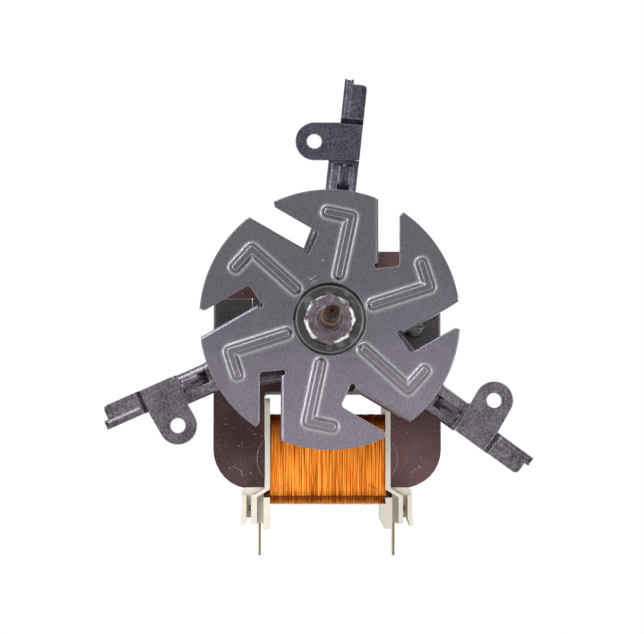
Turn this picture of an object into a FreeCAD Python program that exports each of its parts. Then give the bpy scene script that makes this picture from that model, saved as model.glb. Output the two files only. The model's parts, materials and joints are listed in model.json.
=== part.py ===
import FreeCAD, Part
import math
import os
import re
import Sketcher

# Oven fan motor: a shaded-pole motor with a stamped six-blade fan on its shaft and a pressed
# three-arm bracket. Millimetres. The origin is the centre of the three mounting holes, on the
# front face of the ears and on the shaft axis. +Z is up, and the fan looks along -Y.
#
# Every body is drawn in a front view: x to the right, y up and z forward, towards the fan.
# Its placement then stands that view upright. Levels behind the ears are negative.

SIZES = {
    # Mounting bracket
    "bracket_gauge": 1.5,
    "arm_count": 3,
    "arm_angle": 84,
    "arm_setback": 3,
    "channel_depth": 5,
    "arm_left": 6.0,
    "arm_right": 4.7,
    "arm_straight": 11.5,
    "flare_foot": 3.5,
    "flare_growth": 6.2,
    "pan_margin": 0.2,
    "pan_opening": 10.5,
    "channel_round": 2.3,
    "valley_inset": 3.5,
        "valley_half_width": 2.2,
    "valley_depth": 1.6,
    "rib_length": 8.3,
    "rib_half_width": 1.6,
    "rib_height": 1.0,
    "rib_lean": 14,
    "mounting_circle": 127.4,
    "ear_lead": 10.6,
    "ear_hole_radius": 2.6,
    "ear_radius": 6.6,
    "ear_tilt": 6,
    "ear_inset": 5.1,
    "ear_outset": 7.2,
    "tongue_step_run": 1.8,
    "tongue_rise": 2,
    "tongue_length": 12.2,
    "tongue_left": 3.3,
    "tongue_round": 1.6,
    "hem_overhang": 1.6,
    "hem_radius": 1.6,
    "hem_lead": 0.6,
    "hem_mouth_length": 1.1,
    "hem_bore_radius": 0.75,
    "hem_bore_depth": 7,
    "hem_proud": 0.4,
    "dimple_clearance": 1.8,
    "dimple_room": 0.4,
    "bracket_screw_radius": 1.9,
    "bracket_screw_head_radius": 3.3,
    "bracket_screw_head_height": 2.0,
    "bracket_screw_length": 6,
    # Laminated stator
    "stack_setback": 26,
    "stack_depth": 22,
    "core_half_width": 40.4,
    "core_top": 27.2,
    "core_bottom": 56.9,
    "core_top_round": 9,
    "core_bottom_round": 13.3,
    "leg_width": 18.1,
    "pole_bottom": 22.9,
    "window_round": 1.2,
    "bar_foot": 0.3,
    "bar_round": 9.7,
    "bar_seat_depth": 2.7,
    "bar_fit": 0.05,
    "rotor_bore_radius": 14.25,
    "bridge_wall": 1.6,
    "bridge_slit_half_width": 1.2,
    "shading_wire": 1.8,
    "shading_fit": 0.1,
    "shading_wall": 1.55,
    "shading_pitch": 2.9,
    "shading_inner": 5.6,
    "shading_inner_step": 3.0,
    "shading_outer": 16.4,
    # Rotor and shaft
    "shaft_radius": 2.5,
    "shaft_tip_length": 18,
    "shaft_rear_stub": 1.5,
    "shaft_chamfer": 0.5,
    "shaft_flat_length": 12,
    "shaft_flat_depth": 0.5,
    "centre_drill_radius": 0.9,
    "air_gap": 0.4,
    "cage_bar_count": 14,
    "cage_bar_radius": 1.1,
    "cage_bar_cover": 1.35,
    "cage_ring_inset": 0.95,
    "cage_ring_wall": 4.3,
    "cage_ring_width": 2.5,
    "spacer_wall": 1.2,
    "washer_radius": 3.8,
    "washer_width": 1.0,
    "end_float": 0.3,
    # Bearings and their straps
    "strap_gauge": 1.5,
    "strap_inset": 0.2,
    "strap_margin": 0.3,
    "riser_lean": 2.0,
    "ring_clearance": 3.2,
    "riser_clearance": 1.1,
    "strap_round": 0.8,
    "bearing_lip": 1.0,
    "bearing_sphere_radius": 5.2,
    "bearing_length": 6.4,
    "running_clearance": 0.04,
    "felt_clearance": 0.1,
    "felt_wall": 2.1,
    "felt_width": 4.4,
    "retainer_gauge": 0.5,
    "retainer_rim": 2.4,
    "clamp_screw_radius": 2.0,
    "clamp_hole_clearance": 0.2,
    "clamp_head_radius": 3.6,
    "clamp_head_height": 2.6,
    "clamp_tail": 2,
    "driver_slot_width": 1.0,
    "driver_slot_depth": 1.1,
    "nut_across_flats": 7,
    "nut_height": 3.2,
    # Fan wheel and hub
    "fan_front": 12,
    "fan_gauge": 0.8,
    "fan_radius": 45,
    "blade_count": 6,
    "bend_start": 15.8,
    "bend_radius": 1.0,
    "paddle_depth": 8.7,
    "paddle_foot": 19.4,
    "paddle_slant": 3.6,
    "slot_far_side": 24.1,
    "slot_bottom": 17.6,
    "slot_bottom_rise": 0.6,
    "slot_corner": 1.3,
    "tip_height": 35.8,
    "relief_radius": 1.0,
    "relief_height": 18.5,
    "bead_height": 1.2,
    "bead_half_width": 2.4,
    "bead_crown_half_width": 1.0,
    "bead_wall": 0.6,
    "bead_corner": 2.1,
    "bead_start_side": 3.2,
    "bead_start_height": 15.6,
    "bead_tilt": 12,
    "bead_leg": 20.2,
    "bead_foot": 8.3,
    "dish_margin": 3.45,
    "dish_slope": 1.2,
    "dish_depth": 1.6,
    "fan_hole_radius": 5,
    "hub_shoulder_step": 1.0,
    "hub_shoulder_length": 5.6,
    "hub_flange_radius": 8.95,
    "hub_flange_width": 1.3,
    "hub_collar_radius": 3.4,
    "hub_collar_length": 17.3,
    "hub_cone_height": 1.4,
    "stake_count": 8,
    "stake_inset": 1.3,
    "stake_radius": 1.25,
    "stake_depth": 0.7,
    # Bobbin, winding and terminals
    "bobbin_wall": 1.2,
    "bobbin_fit": 0.2,
    "flange_gauge": 1.8,
    "flange_gap": 0.1,
    "flange_drop": 2.7,
    "flange_overhang": 8.5,
    "flange_round": 3,
    "winding_build_height": 4.8,
    "winding_build_depth": 6.5,
    "winding_round": 6,
    "winding_gap": 0.05,
    "housing_top_gap": 0.3,
    "housing_depth": 12,
    "housing_roof": 1.7,
    "roof_chamfer": 1.1,
    "ledge_height": 2.6,
    "ledge_depth": 1.8,
    "flare_drop": 0.4,
    "flare_slope": 0.62,
    "flare_wall": 1.45,
    "mouth_depth": 5,
    "mouth_height": 3.6,
    "foot_length": 3.2,
    "foot_bulge": 0.35,
    "web_gauge": 0.9,
    "web_length": 8.9,
    "peephole_start": 6.3,
    "peephole_height": 2.1,
    "peephole_width": 0.9,
    "block_length": 12.6,
    "outer_tower_length": 13.3,
    "inner_tower_length": 14.5,
    "tower_gap": 0.3,
    "terminal_gauge": 0.8,
    "terminal_width": 6.3,
    "tab_length": 11.3,
    "terminal_fit": 0.05,
    "terminal_seat": 3.0,
    "tab_taper": 1.2,
    "tab_hole_radius": 0.9,
    "tab_hole_above_tip": 4.2,
    "wire_leg_gauge": 0.5,
    "wire_leg_length": 5.8,
    "wire_notch_half_width": 0.35,
    "wire_notch_depth": 3,
}

# Each terminal housing seen from the front: distances outwards from the inside of the leg
HOUSINGS = {
    "left": {
        "tab_middle": 1.67,
        "tower_inside": -2.0,
        "tower_outside": 0.35,
        "panel_outside": 2.65,
        "block_outside": 4.7,
        "gap_outside": 6.4,
        "foot_inside": 7.4,
        "foot_rise": 1.5,
        "housing_outside": 8.05,
        "tower_chamfer": 0.4,
        "tower_chamfer_height": 0.5,
    },
    "right": {
        "tab_middle": 1.0,
        "tower_inside": -3.8,
        "tower_outside": 0.5,
        "panel_outside": 2.7,
        "block_outside": 4.3,
        "gap_outside": 5.9,
        "foot_inside": 6.9,
        "foot_rise": 2.5,
        "housing_outside": 7.4,
        "tower_chamfer": 2.0,
        "tower_chamfer_height": 3.8,
    },
}

# Levels and places worked out from the driving sizes
STACK_FRONT = "(-stack_setback)"
STACK_REAR = "(-stack_setback - stack_depth)"
STACK_MIDDLE = "(-stack_setback - stack_depth / 2)"
STRAP_FACE = "(-stack_setback + strap_rise)"
ARM_FACE = "(-arm_setback)"
CHANNEL_BACK = "(-arm_setback - channel_depth)"
EAR_ALONG = "(mounting_circle / 2 * cos(ear_lead))"
EAR_ASIDE = "(mounting_circle / 2 * sin(ear_lead))"
FAN_BACK = "(fan_front - fan_gauge)"
DISH_FLOOR = "(fan_front - dish_depth)"
HUB_FACE = "(fan_front - dish_depth + hub_flange_width)"
BOBBIN_INSIDE_HALF_HEIGHT = "(bar_round + bobbin_fit)"
BOBBIN_OUTSIDE_HALF_HEIGHT = "(bar_round + bobbin_fit + bobbin_wall)"
BOBBIN_INSIDE_HALF_DEPTH = "(stack_depth / 2 + bobbin_fit)"
BOBBIN_OUTSIDE_HALF_DEPTH = "(stack_depth / 2 + bobbin_fit + bobbin_wall)"
FLANGE_OUTSIDE = "(leg_inside - flange_gap)"
FLANGE_INSIDE = "(leg_inside - flange_gap - flange_gauge)"
FLANGE_FRONT = "(flange_overhang - stack_setback)"
WINDING_BOTTOM = "(bar_centre + winding_half_height)"
HOUSING_TOP = "(core_bottom + housing_top_gap)"
TERMINAL_LEVEL = "(flange_overhang - stack_setback - housing_depth / 2)"

# The same, as distances outwards from the middle of the stack, for both ends of the motor
STACK_HALF = "(stack_depth / 2)"
PLATEAU_OUTSIDE = "(stack_depth / 2 + strap_rise)"
PLATEAU_INSIDE = "(stack_depth / 2 + strap_rise - strap_gauge)"
SEAT_DEPTH = "(sqrt(bearing_sphere_radius ^ 2 - bearing_seat_radius ^ 2))"
BEARING_MIDDLE = f"({PLATEAU_INSIDE} - {SEAT_DEPTH})"
RETAINER_FLOOR = f"({BEARING_MIDDLE} - {SEAT_DEPTH})"
WASHER_OUTSIDE = f"({BEARING_MIDDLE} - bearing_length / 2 - end_float)"
CAGE_OUTSIDE = "(stack_depth / 2 + cage_ring_width)"

# Sizes that follow from others, so that what seats on a piece or lines up with it moves with it
TIED = {
    "strap_rise": "stack_setback - arm_setback - channel_depth",
    "dimple_radius": "bracket_screw_head_radius + dimple_room + bracket_gauge",
    "dimple_offset": "retainer_rim_radius + bracket_screw_radius + dimple_clearance",
    "pan_radius": "dimple_offset + dimple_radius + pan_margin",
    "flare_end": "pan_radius + flare_foot",
    "valley_start": "flare_end + valley_inset",
    "arm_end": f"{EAR_ALONG} - ear_inset",
    "flare_start": "arm_end - arm_straight",
    "rib_start": "arm_end - rib_length",
    "tongue_step_start": f"{EAR_ALONG} + ear_outset",
    "tongue_end": "tongue_step_start + tongue_step_run + tongue_length",
    "hem_end": "tongue_end + hem_overhang",
    "hem_aside": "tongue_left - hem_radius",
    "leg_inside": "core_half_width - leg_width",
    "bar_centre": "core_bottom - bar_round - bar_foot",
    "bar_half_length": "leg_inside + bar_seat_depth",
    "shading_offset": "rotor_bore_radius + shading_wall",
    "cage_bar_circle": "rotor_bore_radius - air_gap - cage_bar_radius - cage_bar_cover",
    "cage_ring_outer": "rotor_bore_radius - air_gap - cage_ring_inset",
    "cage_ring_inner": "cage_ring_outer - cage_ring_wall",
    "strap_half_length": "core_half_width - strap_inset",
    "strap_half_height": "retainer_rim_radius + strap_margin",
    "plateau_half_length": "shading_offset + shading_pitch + shading_wire / 2 + ring_clearance + strap_gauge",
    "riser_foot": "plateau_half_length + riser_lean",
    "clamp_offset": "riser_foot + riser_clearance + max(clamp_head_radius; nut_across_flats / 2)",
    "bearing_seat_radius": "bearing_sphere_radius - bearing_lip",
    "felt_radius": "bearing_sphere_radius + felt_clearance + felt_wall",
    "retainer_rim_radius": "felt_radius + felt_clearance + retainer_rim",
    "dish_radius": "hub_flange_radius + dish_margin",
    "hub_shoulder_radius": "fan_hole_radius + hub_shoulder_step",
    "hub_collar_front": f"{HUB_FACE} + hub_collar_length",
    "stake_circle": "hub_flange_radius - stake_inset",
    "shaft_front": "hub_collar_front + shaft_tip_length",
    "flange_top": "pole_bottom + flange_drop",
    "winding_half_height": f"{BOBBIN_OUTSIDE_HALF_HEIGHT} + winding_build_height",
    "block_bottom": f"{HOUSING_TOP} + block_length",
    "outer_tower_bottom": f"{HOUSING_TOP} + outer_tower_length",
    "inner_tower_bottom": f"{HOUSING_TOP} + inner_tower_length",
    "terminal_top": f"{HOUSING_TOP} + terminal_seat",
    "terminal_bottom": "block_bottom + tab_length",
    "wire_leg_bottom": "terminal_top + wire_leg_length",
}

FRONT = 1
REAR = -1
ENDS = {"front": FRONT, "rear": REAR}
SIDES = {"left": -1, "right": 1}
UPRIGHT = FreeCAD.Rotation(FreeCAD.Vector(1, 0, 0), 90)

os.makedirs("parts", exist_ok=True)
doc = FreeCAD.newDocument("oven_fan_motor")
sheet = doc.addObject("Spreadsheet::Sheet", "sizes")
PARTS = []


def fill_sheet():
    """Write each driving size to a row of the sheet, as a name and a plain number."""
    rows = dict(SIZES)
    for side, housing in HOUSINGS.items():
        rows.update({f"{side}_{name}": number for name, number in housing.items()})
    for row, (name, number) in enumerate(rows.items(), 1):
        sheet.set(f"A{row}", name)
        sheet.set(f"B{row}", str(number))
        sheet.setAlias(f"B{row}", name)
    doc.recompute()
    return rows


ROWS = fill_sheet()


def spelled_out(expression):
    """Expression with each tied size written out in the sheet's names."""
    longer = re.sub(r"[a-z_]+", lambda word: f"({TIED[word[0]]})" if word[0] in TIED else word[0], expression)
    return expression if longer == expression else spelled_out(longer)


def bound(expression):
    """Expression written for an object outside the sheet."""
    names = spelled_out(expression)
    return re.sub(r"[a-z_]+", lambda word: "sizes." + word[0] if word[0] in ROWS else word[0], names)


def size(expression):
    """Number that an expression stands for."""
    return float(sheet.evalExpression(spelled_out(expression)))


def origin_feature(body, role):
    return next(item for item in body.Origin.OriginFeatures if item.Role == role)


def new_body(label, turn="0"):
    """Body drawn in the front view, turned about the shaft axis and then stood upright."""
    body = doc.addObject("PartDesign::Body", label)
    body.Label = label
    spin = FreeCAD.Rotation(FreeCAD.Vector(0, 0, 1), size(turn))
    body.Placement = FreeCAD.Placement(FreeCAD.Vector(), UPRIGHT.multiply(spin))
    PARTS.append(body)
    return body


def new_sketch(body, name, level="0", role="XY_Plane", shift=("0", "0"), turn="0"):
    """Sketch on an origin plane of the body, lifted off it by a level, shifted and turned in it."""
    sketch = body.newObject("Sketcher::SketchObject", f"{body.Name}_{name}")
    sketch.AttachmentSupport = [(origin_feature(body, role), "")]
    sketch.MapMode = "FlatFace"
    sketch.setExpression("AttachmentOffset.Base.x", bound(shift[0]))
    sketch.setExpression("AttachmentOffset.Base.y", bound(shift[1]))
    sketch.setExpression("AttachmentOffset.Base.z", bound(level))
    sketch.setExpression("AttachmentOffset.Rotation.Angle", bound(turn))
    return sketch


def fix_size(sketch, kind, places, number, expression):
    """Add a constraint and bind it to an expression on the sheet."""
    index = sketch.addConstraint(Sketcher.Constraint(kind, *places, number))
    name = f"{kind.lower()}_{index}"
    sketch.renameConstraint(index, name)
    sketch.setExpression(f"Constraints.{name}", bound(expression))


def draw_loop(sketch, steps):
    """Draw a closed loop. A step is (x, y), a straight line to that point, or (x, y, sweep),
    an arc to it that turns by so many degrees, anticlockwise where positive."""
    points = [FreeCAD.Vector(size(step[0]), size(step[1])) for step in steps]
    ends = []
    for index, step in enumerate(steps):
        start, end = points[index - 1], points[index]
        if len(step) == 2:
            edge = sketch.addGeometry(Part.LineSegment(start, end), False)
            ends.append((edge, 1, 2))
            continue
        sweep = math.radians(size(step[2]))
        chord = end - start
        aside = FreeCAD.Vector(-chord.y, chord.x) * (0.5 / math.tan(sweep / 2))
        centre = (start + end) * 0.5 + aside
        first, last = (start, end) if sweep > 0 else (end, start)
        low = math.atan2(first.y - centre.y, first.x - centre.x)
        circle = Part.Circle(centre, FreeCAD.Vector(0, 0, 1), (start - centre).Length)
        edge = sketch.addGeometry(Part.ArcOfCircle(circle, low, low + abs(sweep)), False)
        ends.append((edge, 1, 2) if sweep > 0 else (edge, 2, 1))
        fix_size(sketch, "Angle", (edge,), abs(sweep), f"abs({step[2]})")
    for index, (edge, _, tail) in enumerate(ends):
        after, head, _ = ends[(index + 1) % len(ends)]
        sketch.addConstraint(Sketcher.Constraint("Coincident", edge, tail, after, head))
        fix_size(sketch, "DistanceX", (-1, 1, edge, tail), points[index].x, steps[index][0])
        fix_size(sketch, "DistanceY", (-1, 1, edge, tail), points[index].y, steps[index][1])


def draw_circle(sketch, x, y, radius):
    """Draw a full circle about a point."""
    centre = FreeCAD.Vector(size(x), size(y))
    edge = sketch.addGeometry(Part.Circle(centre, FreeCAD.Vector(0, 0, 1), size(radius)), False)
    fix_size(sketch, "Radius", (edge,), size(radius), radius)
    fix_size(sketch, "DistanceX", (-1, 1, edge, 3), centre.x, x)
    fix_size(sketch, "DistanceY", (-1, 1, edge, 3), centre.y, y)


def draw_box(sketch, left, bottom, right, top):
    """Draw an upright rectangle from its four sides."""
    draw_loop(sketch, [(left, bottom), (right, bottom), (right, top), (left, top)])


def settle(feature):
    """Recompute and stop with a plain message if the feature failed."""
    doc.recompute()
    if "Invalid" in feature.State or "Error" in feature.State or not feature.Shape.isValid():
        raise ValueError(f"{feature.Name} failed: {feature.State}")
    return feature


def volume_of(body):
    return body.Shape.Volume if body.Tip else 0.0


def pad(sketch, length, back=False, both=False, taper=None):
    """Add material on the sketch's forward side, behind it, or half on each side of it."""
    body = sketch.getParentGeoFeatureGroup()
    before = volume_of(body)
    feature = body.newObject("PartDesign::Pad", f"{sketch.Name}_pad")
    feature.Profile = sketch
    feature.setExpression("Length", bound(length))
    feature.Reversed = back
    if both:
        feature.Midplane = True
    if taper:
        feature.setExpression("TaperAngle", bound(taper))
    sketch.Visibility = False
    settle(feature)
    if feature.Shape.Volume <= before:
        raise ValueError(f"{feature.Name} added nothing")
    return feature


def pocket(sketch, length, forward=False, both=False, taper=None):
    """Cut behind the sketch, in front of it, or half on each side of it."""
    body = sketch.getParentGeoFeatureGroup()
    before = volume_of(body)
    feature = body.newObject("PartDesign::Pocket", f"{sketch.Name}_cut")
    feature.Profile = sketch
    feature.setExpression("Length", bound(length))
    feature.Reversed = forward
    if both:
        feature.Midplane = True
    if taper:
        feature.setExpression("TaperAngle", bound(taper))
    sketch.Visibility = False
    settle(feature)
    if feature.Shape.Volume >= before:
        raise ValueError(f"{feature.Name} cut nothing")
    return feature


def revolve(body, name, steps):
    """Turned piece: a profile of radius and level, revolved about the shaft axis."""
    sketch = new_sketch(body, name, role="XZ_Plane")
    draw_loop(sketch, steps)
    feature = body.newObject("PartDesign::Revolution", f"{sketch.Name}_turned")
    feature.Profile = sketch
    feature.ReferenceAxis = (sketch, ["V_Axis"])
    feature.Angle = 360
    sketch.Visibility = False
    return settle(feature)


def repeat_round(body, name, features, count):
    """Repeat features evenly about the shaft axis."""
    pattern = body.newObject("PartDesign::PolarPattern", f"{body.Name}_{name}")
    pattern.Originals = features
    pattern.Axis = (origin_feature(body, "Z_Axis"), [""])
    pattern.Angle = 360
    pattern.setExpression("Occurrences", bound(count))
    body.Tip = pattern
    return settle(pattern)


def dress(kind, feature, is_wanted, amount):
    """Fillet or chamfer the edges of a feature that pass a test."""
    body = feature.getParentGeoFeatureGroup()
    names = [f"Edge{number}" for number, edge in enumerate(feature.Shape.Edges, 1) if is_wanted(edge)]
    if not names:
        raise ValueError(f"no edge to dress on {feature.Name}")
    dressed = body.newObject(f"PartDesign::{kind}", f"{feature.Name}_{kind.lower()}")
    dressed.Base = (feature, names)
    dressed.setExpression("Radius" if kind == "Fillet" else "Size", bound(amount))
    return settle(dressed)


def runs_along(edge, axis):
    """True for a straight edge along x, y or z of the front view."""
    if not isinstance(edge.Curve, Part.Line):
        return False
    return abs(getattr(edge.Curve.Direction, axis)) > 0.999


def lies_at(edge, **places):
    """True if the middle of an edge's box lies at each given coordinate."""
    middle = edge.BoundBox.Center
    return all(abs(getattr(middle, axis) - number) < 0.01 for axis, number in places.items())


def level_from_middle(side, distance):
    """Level of a plane that lies so far outwards from the stack's middle, at one end."""
    return f"({STACK_MIDDLE} + {side} * {distance})"


def turned_at_end(label, side, steps):
    """Turned piece of one end of the motor, from radii and distances outwards from the middle."""
    body = new_body(label)
    placed = [(step[0], level_from_middle(side, step[1]), *[f"{side} * {sweep}" for sweep in step[2:]])
              for step in steps]
    revolve(body, "profile", placed)
    return body


def ring_steps(inside, outside, near, far):
    """Profile of a plain ring between two radii and two distances."""
    return [(inside, near), (outside, near), (outside, far), (inside, far)]


def make_fan_wheel():
    """Stamped wheel: a dished disc with slots, bent paddles and pressed L-shaped beads."""
    body = new_body("fan_wheel")
    revolve(body, "disc", [
        ("fan_hole_radius", f"{DISH_FLOOR} - fan_gauge"),
        ("dish_radius - dish_slope", f"{DISH_FLOOR} - fan_gauge"),
        ("dish_radius", FAN_BACK),
        ("fan_radius", FAN_BACK),
        ("fan_radius", "fan_front"),
        ("dish_radius + fan_gauge / 2", "fan_front"),
        ("dish_radius - dish_slope + fan_gauge / 2", DISH_FLOOR),
        ("fan_hole_radius", DISH_FLOOR),
    ])
    slot = new_sketch(body, "slot", "fan_front")
    beyond = "(fan_radius + 2)"
    draw_loop(slot, [
        ("bend_start", beyond),
        ("bend_start", "slot_bottom"),
        ("slot_far_side - slot_corner", "slot_bottom + slot_bottom_rise"),
        ("slot_far_side", "slot_bottom + slot_bottom_rise + slot_corner", "85"),
        ("slot_far_side", "tip_height"),
        (f"slot_far_side + {beyond} - tip_height", beyond),
    ])
    slot_cut = pocket(slot, "fan_gauge")
    relief = new_sketch(body, "relief", "fan_front")
    draw_circle(relief, "bend_start + relief_radius / 2", "relief_height", "relief_radius")
    relief_cut = pocket(relief, "fan_gauge")
    paddle = new_sketch(body, "paddle", "-paddle_foot", "XZ_Plane")
    paddle_face = "(bend_start + bend_radius)"
    draw_loop(paddle, [
        ("bend_start", "fan_front"),
        (paddle_face, "fan_front - bend_radius", "-90"),
        (paddle_face, "fan_front - paddle_depth"),
        (f"{paddle_face} - fan_gauge", "fan_front - paddle_depth"),
        (f"{paddle_face} - fan_gauge", "fan_front - bend_radius"),
        ("bend_start", FAN_BACK, "90"),
    ])
    paddle_end = f"(sqrt(fan_radius ^ 2 - {paddle_face} ^ 2))"
    paddle_pad = pad(paddle, f"{paddle_end} - paddle_foot", back=True)
    slant = new_sketch(body, "slant", paddle_face, "YZ_Plane")
    draw_loop(slant, [
        (paddle_end, "fan_front - bend_radius"),
        (f"{paddle_end} - paddle_slant", "fan_front - paddle_depth"),
        (paddle_end, "fan_front - paddle_depth"),
    ])
    slant_cut = pocket(slant, "fan_gauge")
    bead_taper = "-atan((bead_half_width - bead_crown_half_width) / bead_height)"
    bead = bead_sketch(body, "bead", "fan_front", "bead_half_width", "bead_corner")
    bead_pad = pad(bead, "bead_height", taper=bead_taper)
    groove = bead_sketch(body, "bead_back", FAN_BACK, "(bead_half_width - bead_wall)",
                         "(bead_corner - bead_wall)")
    groove_cut = pocket(groove, "bead_height", forward=True, taper=bead_taper)
    blade = [slot_cut, relief_cut, paddle_pad, slant_cut, bead_pad, groove_cut]
    repeat_round(body, "blades", blade, "blade_count")


def bead_sketch(body, name, level, half_width, corner):
    """L-shaped outline of a bead, with rounded corners at its ends and at its bend."""
    sketch = new_sketch(body, name, level, shift=("bead_start_side", "bead_start_height"), turn="-bead_tilt")
    flat = f"({half_width} - {corner})"
    draw_loop(sketch, [
        (flat, f"-{half_width}"),
        (half_width, f"-{flat}", "90"),
        (half_width, "bead_leg"),
        ("0", f"bead_leg + {half_width}", "90"),
        (f"-bead_foot - {flat}", f"bead_leg + {half_width}"),
        (f"-bead_foot - {half_width}", f"bead_leg + {flat}", "90"),
        (f"-bead_foot - {half_width}", f"bead_leg - {flat}"),
        (f"-bead_foot - {flat}", f"bead_leg - {half_width}", "90"),
        (f"-{half_width}", f"bead_leg - {half_width}"),
        (f"-{half_width}", f"-{flat}"),
        (f"-{flat}", f"-{half_width}", "90"),
    ])
    return sketch


def make_fan_hub():
    """Turned hub that clamps the dished sheet between its shoulder and a staked flange."""
    body = new_body("fan_hub")
    sheet_back = f"({DISH_FLOOR} - fan_gauge)"
    revolve(body, "profile", [
        ("shaft_radius", f"{sheet_back} - hub_shoulder_length"),
        ("hub_shoulder_radius", f"{sheet_back} - hub_shoulder_length"),
        ("hub_shoulder_radius", sheet_back),
        ("fan_hole_radius", sheet_back),
        ("fan_hole_radius", DISH_FLOOR),
        ("hub_flange_radius", DISH_FLOOR),
        ("hub_flange_radius - hub_flange_width", HUB_FACE, "90"),
        ("hub_collar_radius + hub_cone_height", HUB_FACE),
        ("hub_collar_radius", f"{HUB_FACE} + hub_cone_height"),
        ("hub_collar_radius", "hub_collar_front"),
        ("shaft_radius", "hub_collar_front"),
    ])
    stake = new_sketch(body, "stake", HUB_FACE)
    draw_circle(stake, "0", "stake_circle", "stake_radius")
    repeat_round(body, "stakes", [pocket(stake, "stake_depth")], "stake_count")


def make_shaft():
    """Shaft with chamfered ends, a centre-drilled tip and a flat under the hub's collar."""
    body = new_body("shaft")
    rear = f"({STACK_MIDDLE} - {PLATEAU_OUTSIDE} - shaft_rear_stub)"
    revolve(body, "profile", [
        ("0", rear),
        ("shaft_radius - shaft_chamfer", rear),
        ("shaft_radius", f"{rear} + shaft_chamfer"),
        ("shaft_radius", "shaft_front - shaft_chamfer"),
        ("shaft_radius - shaft_chamfer", "shaft_front"),
        ("centre_drill_radius", "shaft_front"),
        ("0", "shaft_front - centre_drill_radius"),
    ])
    flat = new_sketch(body, "flat", "shaft_front")
    draw_box(flat, "-shaft_radius", "shaft_radius - shaft_flat_depth", "shaft_radius", "shaft_radius")
    pocket(flat, "shaft_flat_length")


def make_rotor():
    """Rotor stack on the shaft, with the cast cage that fills its slots and caps its ends."""
    core = new_body("rotor_core")
    disc = new_sketch(core, "disc", STACK_REAR)
    draw_circle(disc, "0", "0", "rotor_bore_radius - air_gap")
    draw_circle(disc, "0", "0", "shaft_radius")
    pad(disc, "stack_depth")
    slot = new_sketch(core, "slot", STACK_REAR)
    draw_circle(slot, "0", "cage_bar_circle", "cage_bar_radius")
    repeat_round(core, "slots", [pocket(slot, "stack_depth", forward=True)], "cage_bar_count")

    cage = new_body("rotor_cage")
    rear_ring = new_sketch(cage, "rear_ring", STACK_REAR)
    draw_circle(rear_ring, "0", "0", "cage_ring_outer")
    draw_circle(rear_ring, "0", "0", "cage_ring_inner")
    pad(rear_ring, "cage_ring_width", back=True)
    bar = new_sketch(cage, "bar", STACK_REAR)
    draw_circle(bar, "0", "cage_bar_circle", "cage_bar_radius")
    repeat_round(cage, "bars", [pad(bar, "stack_depth")], "cage_bar_count")
    front_ring = new_sketch(cage, "front_ring", STACK_FRONT)
    draw_circle(front_ring, "0", "0", "cage_ring_outer")
    draw_circle(front_ring, "0", "0", "cage_ring_inner")
    pad(front_ring, "cage_ring_width")


def make_bearing_end(end, side):
    """Strap, bearing, felt, retainer, washer and spacer of one end of the motor."""
    make_strap(end, side)
    barrel_half = "(bearing_length / 2)"
    barrel_edge = f"(sqrt(bearing_sphere_radius ^ 2 - {barrel_half} ^ 2))"
    bore = "(shaft_radius + running_clearance)"
    turned_at_end(f"{end}_bearing", side, [
        (bore, f"({BEARING_MIDDLE} - {barrel_half})"),
        (barrel_edge, f"({BEARING_MIDDLE} - {barrel_half})"),
        (barrel_edge, f"({BEARING_MIDDLE} + {barrel_half})",
         f"(2 * asin({barrel_half} / bearing_sphere_radius))"),
        (bore, f"({BEARING_MIDDLE} + {barrel_half})"),
    ])
    felt_far = f"({RETAINER_FLOOR} + felt_width)"
    felt_hole = "(bearing_sphere_radius + felt_clearance)"
    turned_at_end(f"{end}_oil_felt", side, ring_steps(felt_hole, "felt_radius", RETAINER_FLOOR, felt_far))
    cup_wall = "(felt_radius + felt_clearance)"
    turned_at_end(f"{end}_bearing_retainer", side, [
        ("bearing_seat_radius", RETAINER_FLOOR),
        ("bearing_seat_radius", f"({RETAINER_FLOOR} - retainer_gauge)"),
        (f"{cup_wall} + retainer_gauge", f"({RETAINER_FLOOR} - retainer_gauge)"),
        (f"{cup_wall} + retainer_gauge", f"({PLATEAU_INSIDE} - retainer_gauge)"),
        ("retainer_rim_radius", f"({PLATEAU_INSIDE} - retainer_gauge)"),
        ("retainer_rim_radius", PLATEAU_INSIDE),
        (cup_wall, PLATEAU_INSIDE),
        (cup_wall, RETAINER_FLOOR),
    ])
    washer_inside = f"({WASHER_OUTSIDE} - washer_width)"
    turned_at_end(f"thrust_washer_{end}", side,
                  ring_steps("shaft_radius", "washer_radius", washer_inside, WASHER_OUTSIDE))
    turned_at_end(f"spacer_{end}", side,
                  ring_steps("shaft_radius", "(shaft_radius + spacer_wall)", STACK_HALF, washer_inside))


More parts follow.
